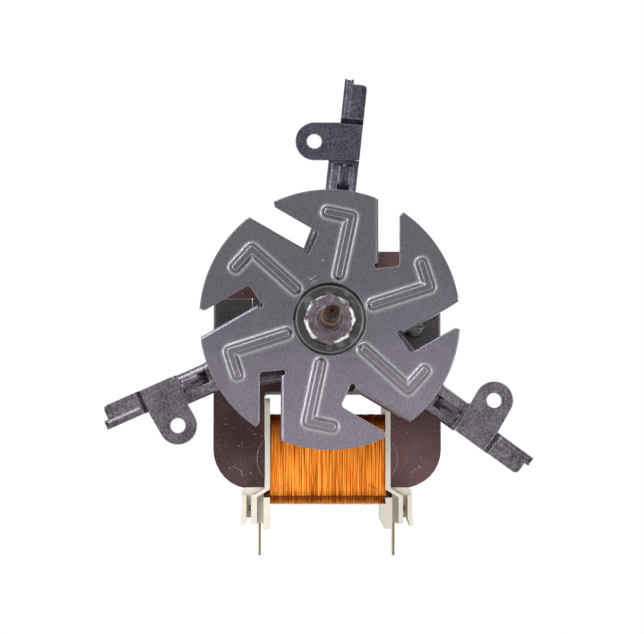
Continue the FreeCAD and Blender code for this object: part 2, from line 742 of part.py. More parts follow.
def make_strap(name, side):
    """Bearing strap: a bridge with two feet on the stack and a plateau with the bearing seat."""
    body = new_body(f"{name}_bearing_strap")
    section = new_sketch(body, "section", role="XZ_Plane")
    foot_inside = level_from_middle(side, STACK_HALF)
    foot_outside = level_from_middle(side, "(stack_depth / 2 + strap_gauge)")
    plateau_inside = level_from_middle(side, PLATEAU_INSIDE)
    plateau_outside = level_from_middle(side, PLATEAU_OUTSIDE)
    half = [
        ("strap_half_length", foot_inside),
        ("strap_half_length", foot_outside),
        ("riser_foot", foot_outside),
        ("plateau_half_length", plateau_outside),
    ]
    inner = [
        ("(plateau_half_length - strap_gauge)", plateau_inside),
        ("(riser_foot - strap_gauge)", foot_inside),
    ]
    far_half = [(f"-{x}", level) for x, level in reversed(half)]
    far_inner = [(f"-{x}", level) for x, level in reversed(inner)]
    draw_loop(section, half + far_half + far_inner + inner)
    bridge = pad(section, "2 * strap_half_height", both=True)
    bends = [(size(x), size(level)) for x, level in half[2:] + inner]
    rounded = dress("Fillet", bridge, lambda edge: runs_along(edge, "y") and any(
        lies_at(edge, x=sign * x, z=level) for x, level in bends for sign in (-1, 1)), "strap_round")
    end = size("strap_half_length")
    dress("Fillet", rounded, lambda edge: runs_along(edge, "z") and any(
        lies_at(edge, x=sign * end) for sign in (-1, 1)), "strap_round")
    seat = new_sketch(body, "seat", level_from_middle(side, PLATEAU_OUTSIDE))
    draw_circle(seat, "0", "0", "bearing_seat_radius")
    pocket(seat, "strap_gauge", forward=side == REAR)
    holes = new_sketch(body, "holes", foot_outside)
    draw_circle(holes, "clamp_offset", "0", "clamp_screw_radius + clamp_hole_clearance")
    draw_circle(holes, "-clamp_offset", "0", "clamp_screw_radius + clamp_hole_clearance")
    pocket(holes, "strap_gauge", forward=side == REAR)
    if side == FRONT:
        threads = new_sketch(body, "threads", STRAP_FACE)
        draw_circle(threads, "dimple_offset", "0", "bracket_screw_radius")
        draw_circle(threads, "-dimple_offset", "0", "bracket_screw_radius")
        pocket(threads, "strap_gauge")


def make_stator_core():
    """C-shaped stack: two legs, a pole section with the rotor bore, and slots for the rings."""
    body = new_body("stator_core")
    outline = new_sketch(body, "outline", STACK_REAR)
    nest_radius = "(bar_round + bar_fit)"
    nest_centre = "(bar_half_length - bar_round)"
    nest_half = f"(sqrt({nest_radius} ^ 2 - (leg_inside - {nest_centre}) ^ 2))"
    nest_sweep = f"(2 * asin({nest_half} / {nest_radius}))"
    draw_loop(outline, [
        ("-core_half_width + core_top_round", "core_top", "-90"),
        ("core_half_width - core_top_round", "core_top"),
        ("core_half_width", "core_top - core_top_round", "-90"),
        ("core_half_width", "-core_bottom + core_bottom_round"),
        ("core_half_width - core_bottom_round", "-core_bottom", "-90"),
        ("leg_inside", "-core_bottom"),
        ("leg_inside", f"-bar_centre - {nest_half}"),
        ("leg_inside", f"-bar_centre + {nest_half}", nest_sweep),
        ("leg_inside", "-pole_bottom - window_round"),
        ("leg_inside - window_round", "-pole_bottom", "90"),
        ("-leg_inside + window_round", "-pole_bottom"),
        ("-leg_inside", "-pole_bottom - window_round", "90"),
        ("-leg_inside", f"-bar_centre + {nest_half}"),
        ("-leg_inside", f"-bar_centre - {nest_half}", nest_sweep),
        ("-leg_inside", "-core_bottom"),
        ("-core_half_width + core_bottom_round", "-core_bottom"),
        ("-core_half_width", "-core_bottom + core_bottom_round", "-90"),
        ("-core_half_width", "core_top - core_top_round"),
    ])
    pad(outline, "stack_depth")
    bore = new_sketch(body, "bore", STACK_REAR)
    draw_circle(bore, "0", "0", "rotor_bore_radius")
    pocket(bore, "stack_depth", forward=True)
    slits = new_sketch(body, "slits", STACK_REAR)
    draw_box(slits, "-bridge_slit_half_width", "-pole_bottom + bridge_wall",
             "bridge_slit_half_width", "core_top - bridge_wall")
    pocket(slits, "stack_depth", forward=True)
    clamps = new_sketch(body, "clamps", STACK_REAR)
    for side in SIDES.values():
        draw_circle(clamps, f"{side} * clamp_offset", "0", "clamp_screw_radius + clamp_hole_clearance")
    pocket(clamps, "stack_depth", forward=True)
    rings = new_sketch(body, "ring_slots", STACK_REAR)
    reach = "(shading_wire / 2 + shading_fit)"
    for side in SIDES.values():
        for step in range(2):
            across = f"({side} * (shading_offset + {step} * shading_pitch))"
            for height in (f"({side} * (shading_inner + {step} * shading_inner_step))",
                           f"({side} * shading_outer)"):
                draw_box(rings, f"{across} - {reach}", f"{height} - {reach}",
                         f"{across} + {reach}", f"{height} + {reach}")
    pocket(rings, "stack_depth", forward=True)


def make_shading_ring(label, side, step):
    """Closed copper ring through two slots of a pole, bent over both faces of the stack."""
    body = new_body(label)
    inner = f"(shading_inner + {step} * shading_inner_step)"
    face = "(stack_depth / 2 + shading_fit)"
    loop = new_sketch(body, "loop", f"{side} * (shading_offset + {step} * shading_pitch)", "YZ_Plane",
                      shift=("0", STACK_MIDDLE))
    near, far = f"({inner} + shading_wire / 2)", "(shading_outer - shading_wire / 2)"
    draw_box(loop, f"{side} * {near}", f"-{face}", f"{side} * {far}", face)
    outer_near, outer_far = f"({inner} - shading_wire / 2)", "(shading_outer + shading_wire / 2)"
    draw_box(loop, f"{side} * {outer_near}", f"-{face} - shading_wire",
             f"{side} * {outer_far}", f"{face} + shading_wire")
    frame = pad(loop, "shading_wire", both=True)
    corner_rows = [size(f"{side} * {outer_near}"), size(f"{side} * {outer_far}")]
    dress("Fillet", frame, lambda edge: runs_along(edge, "x") and any(
        lies_at(edge, y=row) for row in corner_rows), "shading_wire / 3")


def make_core_bar():
    """Bar with round ends that closes the C and carries the winding."""
    body = new_body("core_bar")
    outline = new_sketch(body, "outline", STACK_REAR)
    straight = "(bar_half_length - bar_round)"
    draw_loop(outline, [
        (f"-{straight}", "-bar_centre - bar_round", "180"),
        (straight, "-bar_centre - bar_round"),
        (straight, "-bar_centre + bar_round", "180"),
        (f"-{straight}", "-bar_centre + bar_round"),
    ])
    pad(outline, "stack_depth")


def make_bobbin():
    """Moulded bobbin: a square tube, two flanges and two housings for the terminals."""
    body = new_body("bobbin")
    tube = new_sketch(body, "tube", role="YZ_Plane", shift=("-bar_centre", STACK_MIDDLE))
    draw_box(tube, f"-{BOBBIN_OUTSIDE_HALF_HEIGHT}", f"-{BOBBIN_OUTSIDE_HALF_DEPTH}",
             BOBBIN_OUTSIDE_HALF_HEIGHT, BOBBIN_OUTSIDE_HALF_DEPTH)
    pad(tube, f"2 * {FLANGE_OUTSIDE}", both=True)
    depth = "(flange_overhang + stack_depth / 2)"
    for name, side in SIDES.items():
        flange = new_sketch(body, f"{name}_flange", f"{side} * {FLANGE_INSIDE}", "YZ_Plane",
                            shift=("0", STACK_MIDDLE))
        draw_loop(flange, [
            (f"-{WINDING_BOTTOM} - tower_gap", f"-{depth}"),
            ("-flange_top - flange_round", f"-{depth}"),
            ("-flange_top", f"-{depth} + flange_round", "90"),
            ("-flange_top", f"{depth} - flange_round"),
            ("-flange_top - flange_round", depth, "90"),
            (f"-{WINDING_BOTTOM} - tower_gap", depth),
        ])
        pad(flange, "flange_gauge", back=side < 0)
        make_housing(body, name, side)
    opening = new_sketch(body, "opening", role="YZ_Plane", shift=("-bar_centre", STACK_MIDDLE))
    draw_box(opening, f"-{BOBBIN_INSIDE_HALF_HEIGHT}", f"-{BOBBIN_INSIDE_HALF_DEPTH}",
             BOBBIN_INSIDE_HALF_HEIGHT, BOBBIN_INSIDE_HALF_DEPTH)
    pocket(opening, f"2 * {FLANGE_OUTSIDE}", both=True)


def make_housing(body, name, side):
    """Terminal housing below one flange: a roof, an outer tower, a block and an inner tower.
    Its front is cut back above the flared end of the flange and beside the inner tower."""
    comb = new_sketch(body, f"{name}_housing", FLANGE_FRONT)
    roof = f"({HOUSING_TOP} + housing_roof)"
    tower_top = f"({WINDING_BOTTOM} + tower_gap)"
    inside, chamfer = housing_line(name, "tower_inside"), f"{name}_tower_chamfer"
    outside = housing_line(name, "housing_outside")
    foot_outside = f"({outside} + foot_bulge)"
    steps = [
        (FLANGE_INSIDE, HOUSING_TOP),
        (f"({outside} - roof_chamfer)", HOUSING_TOP),
        (outside, f"({HOUSING_TOP} + roof_chamfer)"),
        (outside, "(outer_tower_bottom - foot_length)"),
        (foot_outside, "(outer_tower_bottom - foot_length + foot_bulge)"),
        (foot_outside, "(outer_tower_bottom)"),
        (housing_line(name, "foot_inside"), "(outer_tower_bottom)"),
        (housing_line(name, "gap_outside"), f"(outer_tower_bottom - {name}_foot_rise)"),
        (housing_line(name, "gap_outside"), roof),
        (housing_line(name, "block_outside"), roof),
        (housing_line(name, "block_outside"), "(block_bottom)"),
        (housing_line(name, "tower_outside"), "(block_bottom)"),
        (housing_line(name, "tower_outside"), "(inner_tower_bottom)"),
        (f"({inside} + {chamfer})", "(inner_tower_bottom)"),
        (inside, f"(inner_tower_bottom - {chamfer}_height)"),
        (inside, tower_top),
        (FLANGE_INSIDE, tower_top),
    ]
    draw_loop(comb, mirrored(side, steps))
    pad(comb, "housing_depth", back=True)
    ledge = new_sketch(body, f"{name}_ledge", FLANGE_FRONT)
    ledge_level = f"({HOUSING_TOP} + ledge_height)"
    draw_loop(ledge, mirrored(side, [
        (FLANGE_OUTSIDE, HOUSING_TOP),
        (FLANGE_OUTSIDE, f"({HOUSING_TOP} + flare_drop)"),
        (f"({FLANGE_OUTSIDE} + (ledge_height - flare_drop) / flare_slope)", ledge_level),
        (foot_outside, ledge_level),
        (foot_outside, HOUSING_TOP),
    ]))
    pocket(ledge, "ledge_depth")
    tower_side, panel_side = housing_line(name, "tower_outside"), housing_line(name, "panel_outside")
    mouth_foot = f"({HOUSING_TOP} + mouth_height)"
    mouth = new_sketch(body, f"{name}_mouth", FLANGE_FRONT)
    draw_loop(mouth, mirrored(side, [
        (FLANGE_INSIDE, flare_underside(FLANGE_INSIDE)),
        (tower_side, flare_underside(tower_side)),
        (tower_side, mouth_foot),
        (FLANGE_INSIDE, mouth_foot),
    ]))
    pocket(mouth, "mouth_depth")
    panel = new_sketch(body, f"{name}_panel", FLANGE_FRONT)
    draw_loop(panel, mirrored(side, [
        (tower_side, flare_underside(tower_side)),
        (panel_side, flare_underside(panel_side)),
        (panel_side, "(block_bottom)"),
        (tower_side, "(block_bottom)"),
    ]))
    pocket(panel, "ledge_depth")
    web = new_sketch(body, f"{name}_web", f"{FLANGE_FRONT} - ledge_depth")
    gap_side = housing_line(name, "block_outside")
    draw_loop(web, mirrored(side, [
        (gap_side, roof),
        (housing_line(name, "gap_outside"), roof),
        (housing_line(name, "gap_outside"), f"({roof} + web_length)"),
        (gap_side, f"({roof} + web_length)"),
    ]))
    pad(web, "web_gauge", back=True)
    peephole = new_sketch(body, f"{name}_peephole", f"{FLANGE_FRONT} - ledge_depth")
    draw_loop(peephole, mirrored(side, [
        (gap_side, f"({HOUSING_TOP} + peephole_start)"),
        (f"({gap_side} + peephole_width)", f"({HOUSING_TOP} + peephole_start)"),
        (f"({gap_side} + peephole_width)", f"({HOUSING_TOP} + peephole_start + peephole_height)"),
        (gap_side, f"({HOUSING_TOP} + peephole_start + peephole_height)"),
    ]))
    pocket(peephole, "web_gauge")
    tab = housing_line(name, "tab_middle")
    leg = wire_leg_line(name)
    slot = new_sketch(body, f"{name}_tab_slot", TERMINAL_LEVEL)
    room = "(terminal_gauge / 2 + terminal_fit)"
    draw_loop(slot, [
        (f"{side} * ({tab} - {room})", "-block_bottom - housing_roof"),
        (f"{side} * ({tab} - {room})", "-terminal_top + terminal_fit"),
        (f"{side} * {leg}", "-terminal_top + terminal_fit"),
        (f"{side} * {leg}", "-terminal_top - terminal_gauge - terminal_fit"),
        (f"{side} * ({tab} + {room})", "-terminal_top - terminal_gauge - terminal_fit"),
        (f"{side} * ({tab} + {room})", "-block_bottom - housing_roof"),
    ])
    pocket(slot, "terminal_width + 2 * terminal_fit", both=True)


def mirrored(side, steps):
    """Loop drawn on one side of the motor, from distances outwards and distances down."""
    return [(f"{side} * {x}", f"-{y}") for x, y in steps]


def flare_underside(x):
    """Distance down to the underside of a flange's flared end, so far from the middle."""
    return f"({HOUSING_TOP} + flare_drop + flare_wall + flare_slope * ({x} - {FLANGE_OUTSIDE}))"


def housing_line(name, line):
    """Distance from the middle of the motor to one upright line of a terminal housing."""
    return f"(leg_inside + {name}_{line})"


def wire_leg_line(name):
    """Distance from the middle of the motor to the terminal's wire leg, in the open gap."""
    return f"(leg_inside + ({name}_block_outside + {name}_gap_outside) / 2)"


def make_winding():
    """Copper winding: one closed ring of rounded section between the bobbin's flanges."""
    body = new_body("winding")
    section = new_sketch(body, "section", role="YZ_Plane", shift=("-bar_centre", STACK_MIDDLE))
    depth = f"({BOBBIN_OUTSIDE_HALF_DEPTH} + winding_build_depth)"
    draw_loop(section, [
        ("winding_half_height - winding_round", f"-{depth}"),
        ("winding_half_height", f"-{depth} + winding_round", "90"),
        ("winding_half_height", f"{depth} - winding_round"),
        ("winding_half_height - winding_round", depth, "90"),
        ("-winding_half_height + winding_round", depth),
        ("-winding_half_height", f"{depth} - winding_round", "90"),
        ("-winding_half_height", f"-{depth} + winding_round"),
        ("-winding_half_height + winding_round", f"-{depth}", "90"),
    ])
    draw_box(section, f"-{BOBBIN_OUTSIDE_HALF_HEIGHT}", f"-{BOBBIN_OUTSIDE_HALF_DEPTH}",
             BOBBIN_OUTSIDE_HALF_HEIGHT, BOBBIN_OUTSIDE_HALF_DEPTH)
    pad(section, f"2 * ({FLANGE_INSIDE} - winding_gap)", both=True)


def make_terminal(name, side):
    """Terminal: a tab down out of the block, a yoke and a notched leg for the wire."""
    body = new_body(f"terminal_{name}")
    tab = housing_line(name, "tab_middle")
    leg = wire_leg_line(name)
    outline = new_sketch(body, "outline", TERMINAL_LEVEL)
    draw_loop(outline, mirrored(side, [
        (f"({tab} - terminal_gauge / 2)", "terminal_bottom"),
        (f"({tab} - terminal_gauge / 2)", "terminal_top"),
        (f"({leg} + wire_leg_gauge / 2)", "terminal_top"),
        (f"({leg} + wire_leg_gauge / 2)", "wire_leg_bottom"),
        (f"({leg} - wire_leg_gauge / 2)", "wire_leg_bottom"),
        (f"({leg} - wire_leg_gauge / 2)", "(terminal_top + terminal_gauge)"),
        (f"({tab} + terminal_gauge / 2)", "(terminal_top + terminal_gauge)"),
        (f"({tab} + terminal_gauge / 2)", "terminal_bottom"),
    ]))
    blank = pad(outline, "terminal_width", both=True)
    tip = size("-terminal_bottom")
    dress("Chamfer", blank, lambda edge: runs_along(edge, "x") and lies_at(edge, y=tip), "tab_taper")
    hole = new_sketch(body, "hole", f"{side} * ({tab} - terminal_gauge)", "YZ_Plane")
    draw_circle(hole, "-terminal_bottom + tab_hole_above_tip", TERMINAL_LEVEL, "tab_hole_radius")
    pocket(hole, "2 * terminal_gauge", forward=side > 0)
    notch = new_sketch(body, "notch", f"{side} * ({leg} - wire_leg_gauge)", "YZ_Plane")
    draw_box(notch, "-wire_leg_bottom", f"{TERMINAL_LEVEL} - wire_notch_half_width",
             "-wire_leg_bottom + wire_notch_depth", f"{TERMINAL_LEVEL} + wire_notch_half_width")
    pocket(notch, "2 * wire_leg_gauge", forward=side > 0)


def slotted_screw(label, across, seat, head_radius, head_height, shank_radius, shank_length):
    """Pan-head screw that points backwards from a seat level, with a driver slot."""
    body = new_body(label)
    head = new_sketch(body, "head", seat)
    draw_circle(head, across, "0", head_radius)
    top = pad(head, head_height)
    crown = size(seat) + size(head_height)
    dress("Fillet", top, lambda edge: lies_at(edge, z=crown), f"{head_height} / 2")
    shank = new_sketch(body, "shank", seat)
    draw_circle(shank, across, "0", shank_radius)
    pad(shank, shank_length, back=True)
    slot = new_sketch(body, "slot", f"{seat} + {head_height}")
    draw_box(slot, f"{across} - {head_radius}", "-driver_slot_width / 2",
             f"{across} + {head_radius}", "driver_slot_width / 2")
    pocket(slot, "driver_slot_depth")


def make_clamp(name, side):
    """Screw through both straps and the stack, with its nut on the rear strap."""
    front_seat = level_from_middle(FRONT, "(stack_depth / 2 + strap_gauge)")
    length = "(stack_depth + 2 * strap_gauge + nut_height + clamp_tail)"
    slotted_screw(f"clamp_screw_{name}", f"({side} * clamp_offset)", front_seat, "clamp_head_radius",
                  "clamp_head_height", "clamp_screw_radius", length)
    nut = new_body(f"clamp_nut_{name}")
    outline = new_sketch(nut, "outline", level_from_middle(REAR, "(stack_depth / 2 + strap_gauge)"),
                         shift=(f"{side} * clamp_offset", "0"))
    corner = "(nut_across_flats / 2 / cos(30))"
    draw_loop(outline, [(f"{corner} * cos({60 * turn + 30})", f"{corner} * sin({60 * turn + 30})")
                        for turn in range(6)])
    draw_circle(outline, "0", "0", "clamp_screw_radius")
    pad(outline, "nut_height", back=True)


def arm_outline(body, name, level, inset):
    """Outline of one arm along x, flared towards the pan, drawn smaller by an inset."""
    sketch = new_sketch(body, name, level)
    left, right = f"(arm_left - {inset})", f"(arm_right - {inset})"
    draw_loop(sketch, [
        ("0", f"-{right} - flare_growth"),
        ("flare_end", f"-{right} - flare_growth"),
        ("flare_start", f"-{right}"),
        (f"arm_end - {inset}", f"-{right}"),
        (f"arm_end - {inset}", left),
        ("flare_start", left),
        ("flare_end", f"{left} + flare_growth"),
        ("0", f"{left} + flare_growth"),
    ])
    return sketch


def make_bracket():
    """Pressed bracket: a channel-shaped spider whose arms end in an ear, a tongue and a hem."""
    body = new_body("mounting_bracket", "arm_angle")
    pan = new_sketch(body, "pan", ARM_FACE)
    draw_circle(pan, "0", "0", "pan_radius")
    pad(pan, "channel_depth", back=True)
    arm = pad(arm_outline(body, "arm", ARM_FACE, "0"), "channel_depth", back=True)
    arms = repeat_round(body, "arms", [arm], "arm_count")
    face = size(ARM_FACE)
    arm_end = size("arm_end")

    def is_folded(edge):
        far = max(vertex.Point.Length for vertex in edge.Vertexes)
        flat = abs(edge.BoundBox.ZMin - face) < 0.01 and abs(edge.BoundBox.ZMax - face) < 0.01
        along_end = abs(edge.BoundBox.Center.getAngle(edge.tangentAt(edge.FirstParameter)) - math.pi / 2)
        return flat and not (far > arm_end and along_end < 0.2)

    dress("Fillet", arms, is_folded, "channel_round")
    hollow_depth = "channel_depth - bracket_gauge"
    hollow = pocket(arm_outline(body, "hollow", CHANNEL_BACK, "bracket_gauge"), hollow_depth, forward=True)
    repeat_round(body, "hollows", [hollow], "arm_count")
    centre = new_sketch(body, "centre", CHANNEL_BACK)
    draw_circle(centre, "0", "0", "pan_radius - bracket_gauge")
    pocket(centre, hollow_depth, forward=True)
    repeat_round(body, "arm_ends", arm_end_features(body), "arm_count")
    dimples = new_sketch(body, "dimples", CHANNEL_BACK, turn="-arm_angle")
    for side in SIDES.values():
        draw_circle(dimples, f"{side} * dimple_offset", "0", "dimple_radius")
    pad(dimples, "channel_depth")
    wells = new_sketch(body, "wells", ARM_FACE, turn="-arm_angle")
    for side in SIDES.values():
        draw_circle(wells, f"{side} * dimple_offset", "0", "dimple_radius - bracket_gauge")
    pocket(wells, "channel_depth - bracket_gauge")
    holes = new_sketch(body, "holes", ARM_FACE, turn="-arm_angle")
    for side in SIDES.values():
        draw_circle(holes, f"{side} * dimple_offset", "0", "bracket_screw_radius")
    pocket(holes, "channel_depth")
    opening = new_sketch(body, "opening", ARM_FACE)
    draw_circle(opening, "0", "0", "pan_opening / 2")
    pocket(opening, "channel_depth")


def arm_end_features(body):
    """Valley, rib, riser, ear, tongue and hem of one arm, drawn along x."""
    arm_back = "(-arm_setback - bracket_gauge)"
    valley_back = new_sketch(body, "valley_back", arm_back)
    draw_box(valley_back, "valley_start - bracket_gauge", "-valley_half_width - bracket_gauge",
             "arm_end - bracket_gauge / 2", "valley_half_width + bracket_gauge")
    backing = pad(valley_back, "valley_depth", back=True)
    valley = new_sketch(body, "valley", ARM_FACE)
    draw_box(valley, "valley_start", "-valley_half_width", "arm_end - bracket_gauge", "valley_half_width")
    sunk = pocket(valley, "valley_depth")
    rib = new_sketch(body, "rib", f"{ARM_FACE} - valley_depth")
    draw_box(rib, "rib_start", "-rib_half_width", "arm_end - bracket_gauge", "rib_half_width")
    raised = pad(rib, "valley_depth + rib_height", taper="-rib_lean")
    riser = new_sketch(body, "riser", arm_back)
    draw_box(riser, "arm_end - bracket_gauge", "-arm_right", "arm_end", "arm_left")
    wall = pad(riser, "arm_setback")
    ear = new_sketch(body, "ear", "-bracket_gauge")
    near = (f"{EAR_ALONG} - ear_radius * cos(ear_tilt)", f"{EAR_ASIDE} - ear_radius * sin(ear_tilt)")
    far = (f"{EAR_ALONG} + ear_radius * cos(ear_tilt)", f"{EAR_ASIDE} + ear_radius * sin(ear_tilt)")
    draw_loop(ear, [
        near,
        (*far, "-180"),
        (f"{far[0]} + ({far[1]} + arm_right) * tan(ear_tilt)", "-arm_right"),
        (f"{near[0]} + ({near[1]} + arm_right) * tan(ear_tilt)", "-arm_right"),
    ])
    plate = pad(ear, "bracket_gauge")
    hole = new_sketch(body, "ear_hole", "0")
    draw_circle(hole, EAR_ALONG, EAR_ASIDE, "ear_hole_radius")
    drilled = pocket(hole, "bracket_gauge")
    step_end = "(tongue_step_start + tongue_step_run)"
    tongue = new_sketch(body, "tongue", "arm_right", "XZ_Plane")
    draw_loop(tongue, [
        (EAR_ALONG, "0"),
        ("tongue_step_start", "0"),
        (step_end, "tongue_rise"),
        ("tongue_end", "tongue_rise"),
        ("tongue_end", "tongue_rise - bracket_gauge"),
        (f"{step_end} + bracket_gauge / 2", "tongue_rise - bracket_gauge"),
        ("tongue_step_start + bracket_gauge / 2", "-bracket_gauge"),
        (EAR_ALONG, "-bracket_gauge"),
    ])
    strip = pad(tongue, "arm_right + tongue_left", back=True)
    corner = new_sketch(body, "tongue_corner", "tongue_rise")
    draw_loop(corner, [
        ("tongue_end - tongue_round", "-arm_right", "-90"),
        ("tongue_end", "-arm_right"),
        ("tongue_end", "-arm_right + tongue_round"),
    ])
    rounded = pocket(corner, "bracket_gauge")
    hem_start = f"({step_end} + hem_lead)"
    hem_level = "tongue_rise + hem_proud - hem_radius"
    trim = new_sketch(body, "hem_trim", "tongue_rise")
    draw_box(trim, hem_start, "hem_aside", "tongue_end", "tongue_left")
    trimmed = pocket(trim, "bracket_gauge")
    hem = new_sketch(body, "hem", hem_start, "YZ_Plane")
    draw_circle(hem, "hem_aside", hem_level, "hem_radius")
    roll = pad(hem, f"hem_end - {hem_start}")
    bore = new_sketch(body, "hem_bore", "hem_end", "YZ_Plane")
    draw_circle(bore, "hem_aside", hem_level, "hem_bore_radius")
    open_end = pocket(bore, "hem_bore_depth")
    mouth = new_sketch(body, "hem_mouth", "tongue_rise + hem_proud")
    draw_box(mouth, "hem_end - hem_mouth_length", "hem_aside - hem_bore_radius",
             "hem_end", "hem_aside + hem_bore_radius")
    notched = pocket(mouth, "hem_radius")
    return [backing, sunk, raised, wall, plate, drilled, strip, rounded, trimmed, roll, open_end, notched]


def make_bracket_screw(name, side):
    """Short screw from the bottom of a dimple of the bracket into the front strap."""
    seat = f"({CHANNEL_BACK} + bracket_gauge)"
    slotted_screw(f"bracket_screw_{name}", f"({side} * dimple_offset)", seat, "bracket_screw_head_radius",
                  "bracket_screw_head_height", "bracket_screw_radius", "bracket_screw_length")


def write_parts():
    """Check every object of the document, then write each piece to its file."""
    for item in doc.Objects:
        if "Invalid" in item.State or "Error" in item.State:
            raise ValueError(f"{item.Name} failed: {item.State}")
    for part in PARTS:
        if part.Shape.isNull() or not part.Shape.isValid():
            raise ValueError(f"{part.Label} has no valid shape")
        part.Shape.exportStep(f"parts/{part.Label}.step")
        print(f"{part.Label}: {part.Shape.Volume / 1000:.2f} cm3, {len(part.Shape.Solids)} solid")


make_fan_wheel()
make_fan_hub()
make_shaft()
make_rotor()
for end_name, end_side in ENDS.items():
    make_bearing_end(end_name, end_side)
make_bracket()
make_stator_core()
make_core_bar()
for side_name, side_sign in SIDES.items():
    make_shading_ring(f"shading_ring_{side_name}_wide", side_sign, 0)
    make_shading_ring(f"shading_ring_{side_name}_narrow", side_sign, 1)
    make_clamp(side_name, side_sign)
    make_bracket_screw(side_name, side_sign)
make_bobbin()
make_winding()
for side_name, side_sign in SIDES.items():
    make_terminal(side_name, side_sign)
doc.recompute()
write_parts()
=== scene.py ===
"""Looks of an oven fan motor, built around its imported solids.

The fan looks along -Y, +Z is up and lengths are metres. Sizes that follow a solid are read from its
box, and sizes that belong to the looks alone are fields of the class that uses them.
"""

import json
import logging
import math
from dataclasses import dataclass, field
from enum import Enum
from typing import Any, Callable

import bmesh
import bpy
from mathutils import Matrix, Vector


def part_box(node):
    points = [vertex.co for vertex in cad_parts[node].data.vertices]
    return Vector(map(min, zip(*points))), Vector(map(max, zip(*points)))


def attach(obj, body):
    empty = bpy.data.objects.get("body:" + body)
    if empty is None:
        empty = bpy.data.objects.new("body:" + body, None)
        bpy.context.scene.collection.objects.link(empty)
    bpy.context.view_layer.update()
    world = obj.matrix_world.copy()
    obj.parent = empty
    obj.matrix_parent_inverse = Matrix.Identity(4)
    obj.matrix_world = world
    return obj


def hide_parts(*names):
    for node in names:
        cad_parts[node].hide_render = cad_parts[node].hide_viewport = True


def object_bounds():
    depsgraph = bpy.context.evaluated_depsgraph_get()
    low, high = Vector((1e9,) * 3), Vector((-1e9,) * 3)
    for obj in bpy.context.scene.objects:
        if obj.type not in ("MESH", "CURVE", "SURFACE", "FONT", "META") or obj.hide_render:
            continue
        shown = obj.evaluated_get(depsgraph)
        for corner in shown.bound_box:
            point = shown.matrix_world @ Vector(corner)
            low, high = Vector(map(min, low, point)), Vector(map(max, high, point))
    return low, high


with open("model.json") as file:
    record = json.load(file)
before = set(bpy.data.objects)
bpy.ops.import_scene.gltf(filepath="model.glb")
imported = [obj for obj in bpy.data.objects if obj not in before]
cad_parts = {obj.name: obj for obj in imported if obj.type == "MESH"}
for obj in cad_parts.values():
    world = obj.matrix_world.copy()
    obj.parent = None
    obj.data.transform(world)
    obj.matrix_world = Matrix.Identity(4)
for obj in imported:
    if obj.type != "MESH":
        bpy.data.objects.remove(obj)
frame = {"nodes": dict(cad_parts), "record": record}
CAD_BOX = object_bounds()

MM = 0.001
SHEET = 0.5 * MM  # thickness of a sheet of the core
COIL_CORNER = 2.6 * MM  # radius of the coil's corners
END_FACE = 0.7  # share of a surface's normal along the shaft's axis, above which it is an end face
EDGE_RAYS = 4  # rays by which a surface finds or softens an edge
FOLD_RAYS = 8  # rays by which it finds a fold
WELD = 1e-6  # points of a mesh that lie closer than this become one
SIDES = {"left": -1, "right": 1}
LOG = logging.getLogger("oven_fan_motor")

Colour = tuple[float, float, float]
Profile = list[tuple[float, float]]
Builder = Callable[[bmesh.types.BMesh], None]


class Body(str, Enum):
    """The bodies of the frame that pieces ride on."""

    MOTOR = "motor"
    ROTOR = "rotor"


class Slot(str, Enum):
    """The record's material slots, one for each finish."""

    FAN = "fan_steel"
    HUB = "hub_steel"
    SHAFT = "shaft_steel"
    BRACKET = "bracket_zinc"
    STRAP = "strap_steel"
    LAMINATION = "lamination"
    ROTOR = "rotor_iron"
    CAGE = "cage_aluminium"
    RING = "ring_copper"
    WINDING = "winding_copper"
    BOBBIN = "bobbin_plastic"
    TAB = "tab_brass"
    BEARING = "bearing_bronze"
    FELT = "felt"
    RETAINER = "retainer_steel"
    WASHER = "washer_plastic"
    SCREW = "screw_steel"


class Graph:
    """A node tree under construction, for a material or a geometry modifier."""

    def __init__(self, tree: bpy.types.NodeTree) -> None:
        """Start from an empty tree.

        Args:
            tree: The node tree to fill.
        """
        self.tree = tree
        self.tree.nodes.clear()

    def node(self, kind: str, settings: dict[str, Any] | None = None,
             inputs: dict[str, Any] | None = None) -> bpy.types.Node:
        """Add a node, its settings first and then what its sockets take.

        Args:
            kind: The node's type name.
            settings: Attributes of the node, such as its operation.
            inputs: Values, signals or sockets, by a socket's identifier or name.

        Returns:
            The new node.
        """
        node = self.tree.nodes.new(kind)
        for name, value in (settings or {}).items():
            setattr(node, name, value)
        for name, value in (inputs or {}).items():
            self.feed(find_socket(node.inputs, name), value)
        return node

    def feed(self, socket: bpy.types.NodeSocket, value: Any) -> None:
        """Give a socket its value or its link.

        Args:
            socket: The input socket.
            value: A number, a tuple, a data block, a socket or a Signal.
        """
        if isinstance(value, Signal):
            value = value.socket
        if isinstance(value, bpy.types.NodeSocket):
            self.tree.links.new(value, socket)
        elif socket.type == "RGBA" and len(value) == 3:
            socket.default_value = (*value, 1.0)
        else:
            socket.default_value = value

    def signal(self, kind: str, settings: dict[str, Any] | None = None,
               inputs: dict[str, Any] | None = None, output: str = "") -> "Signal":
        """Add a node and wrap one of its outputs.

        Args:
            kind: The node's type name.
            settings: As for node().
            inputs: As for node().
            output: The output's identifier or name, or nothing for the first.

        Returns:
            The output, ready for arithmetic.
        """
        node = self.node(kind, settings, inputs)
        return Signal(self, find_socket(node.outputs, output) if output else node.outputs[0])


def find_socket(sockets: Any, name: str) -> bpy.types.NodeSocket:
    """Find a socket by its identifier, or else by its name.

    Args:
        sockets: A node's inputs or outputs.
        name: The identifier or the name.

    Returns:
        The first socket that fits.
    """
    for socket in sockets:
        if socket.identifier == name:
            return socket
    return next(socket for socket in sockets if socket.name == name and socket.enabled)


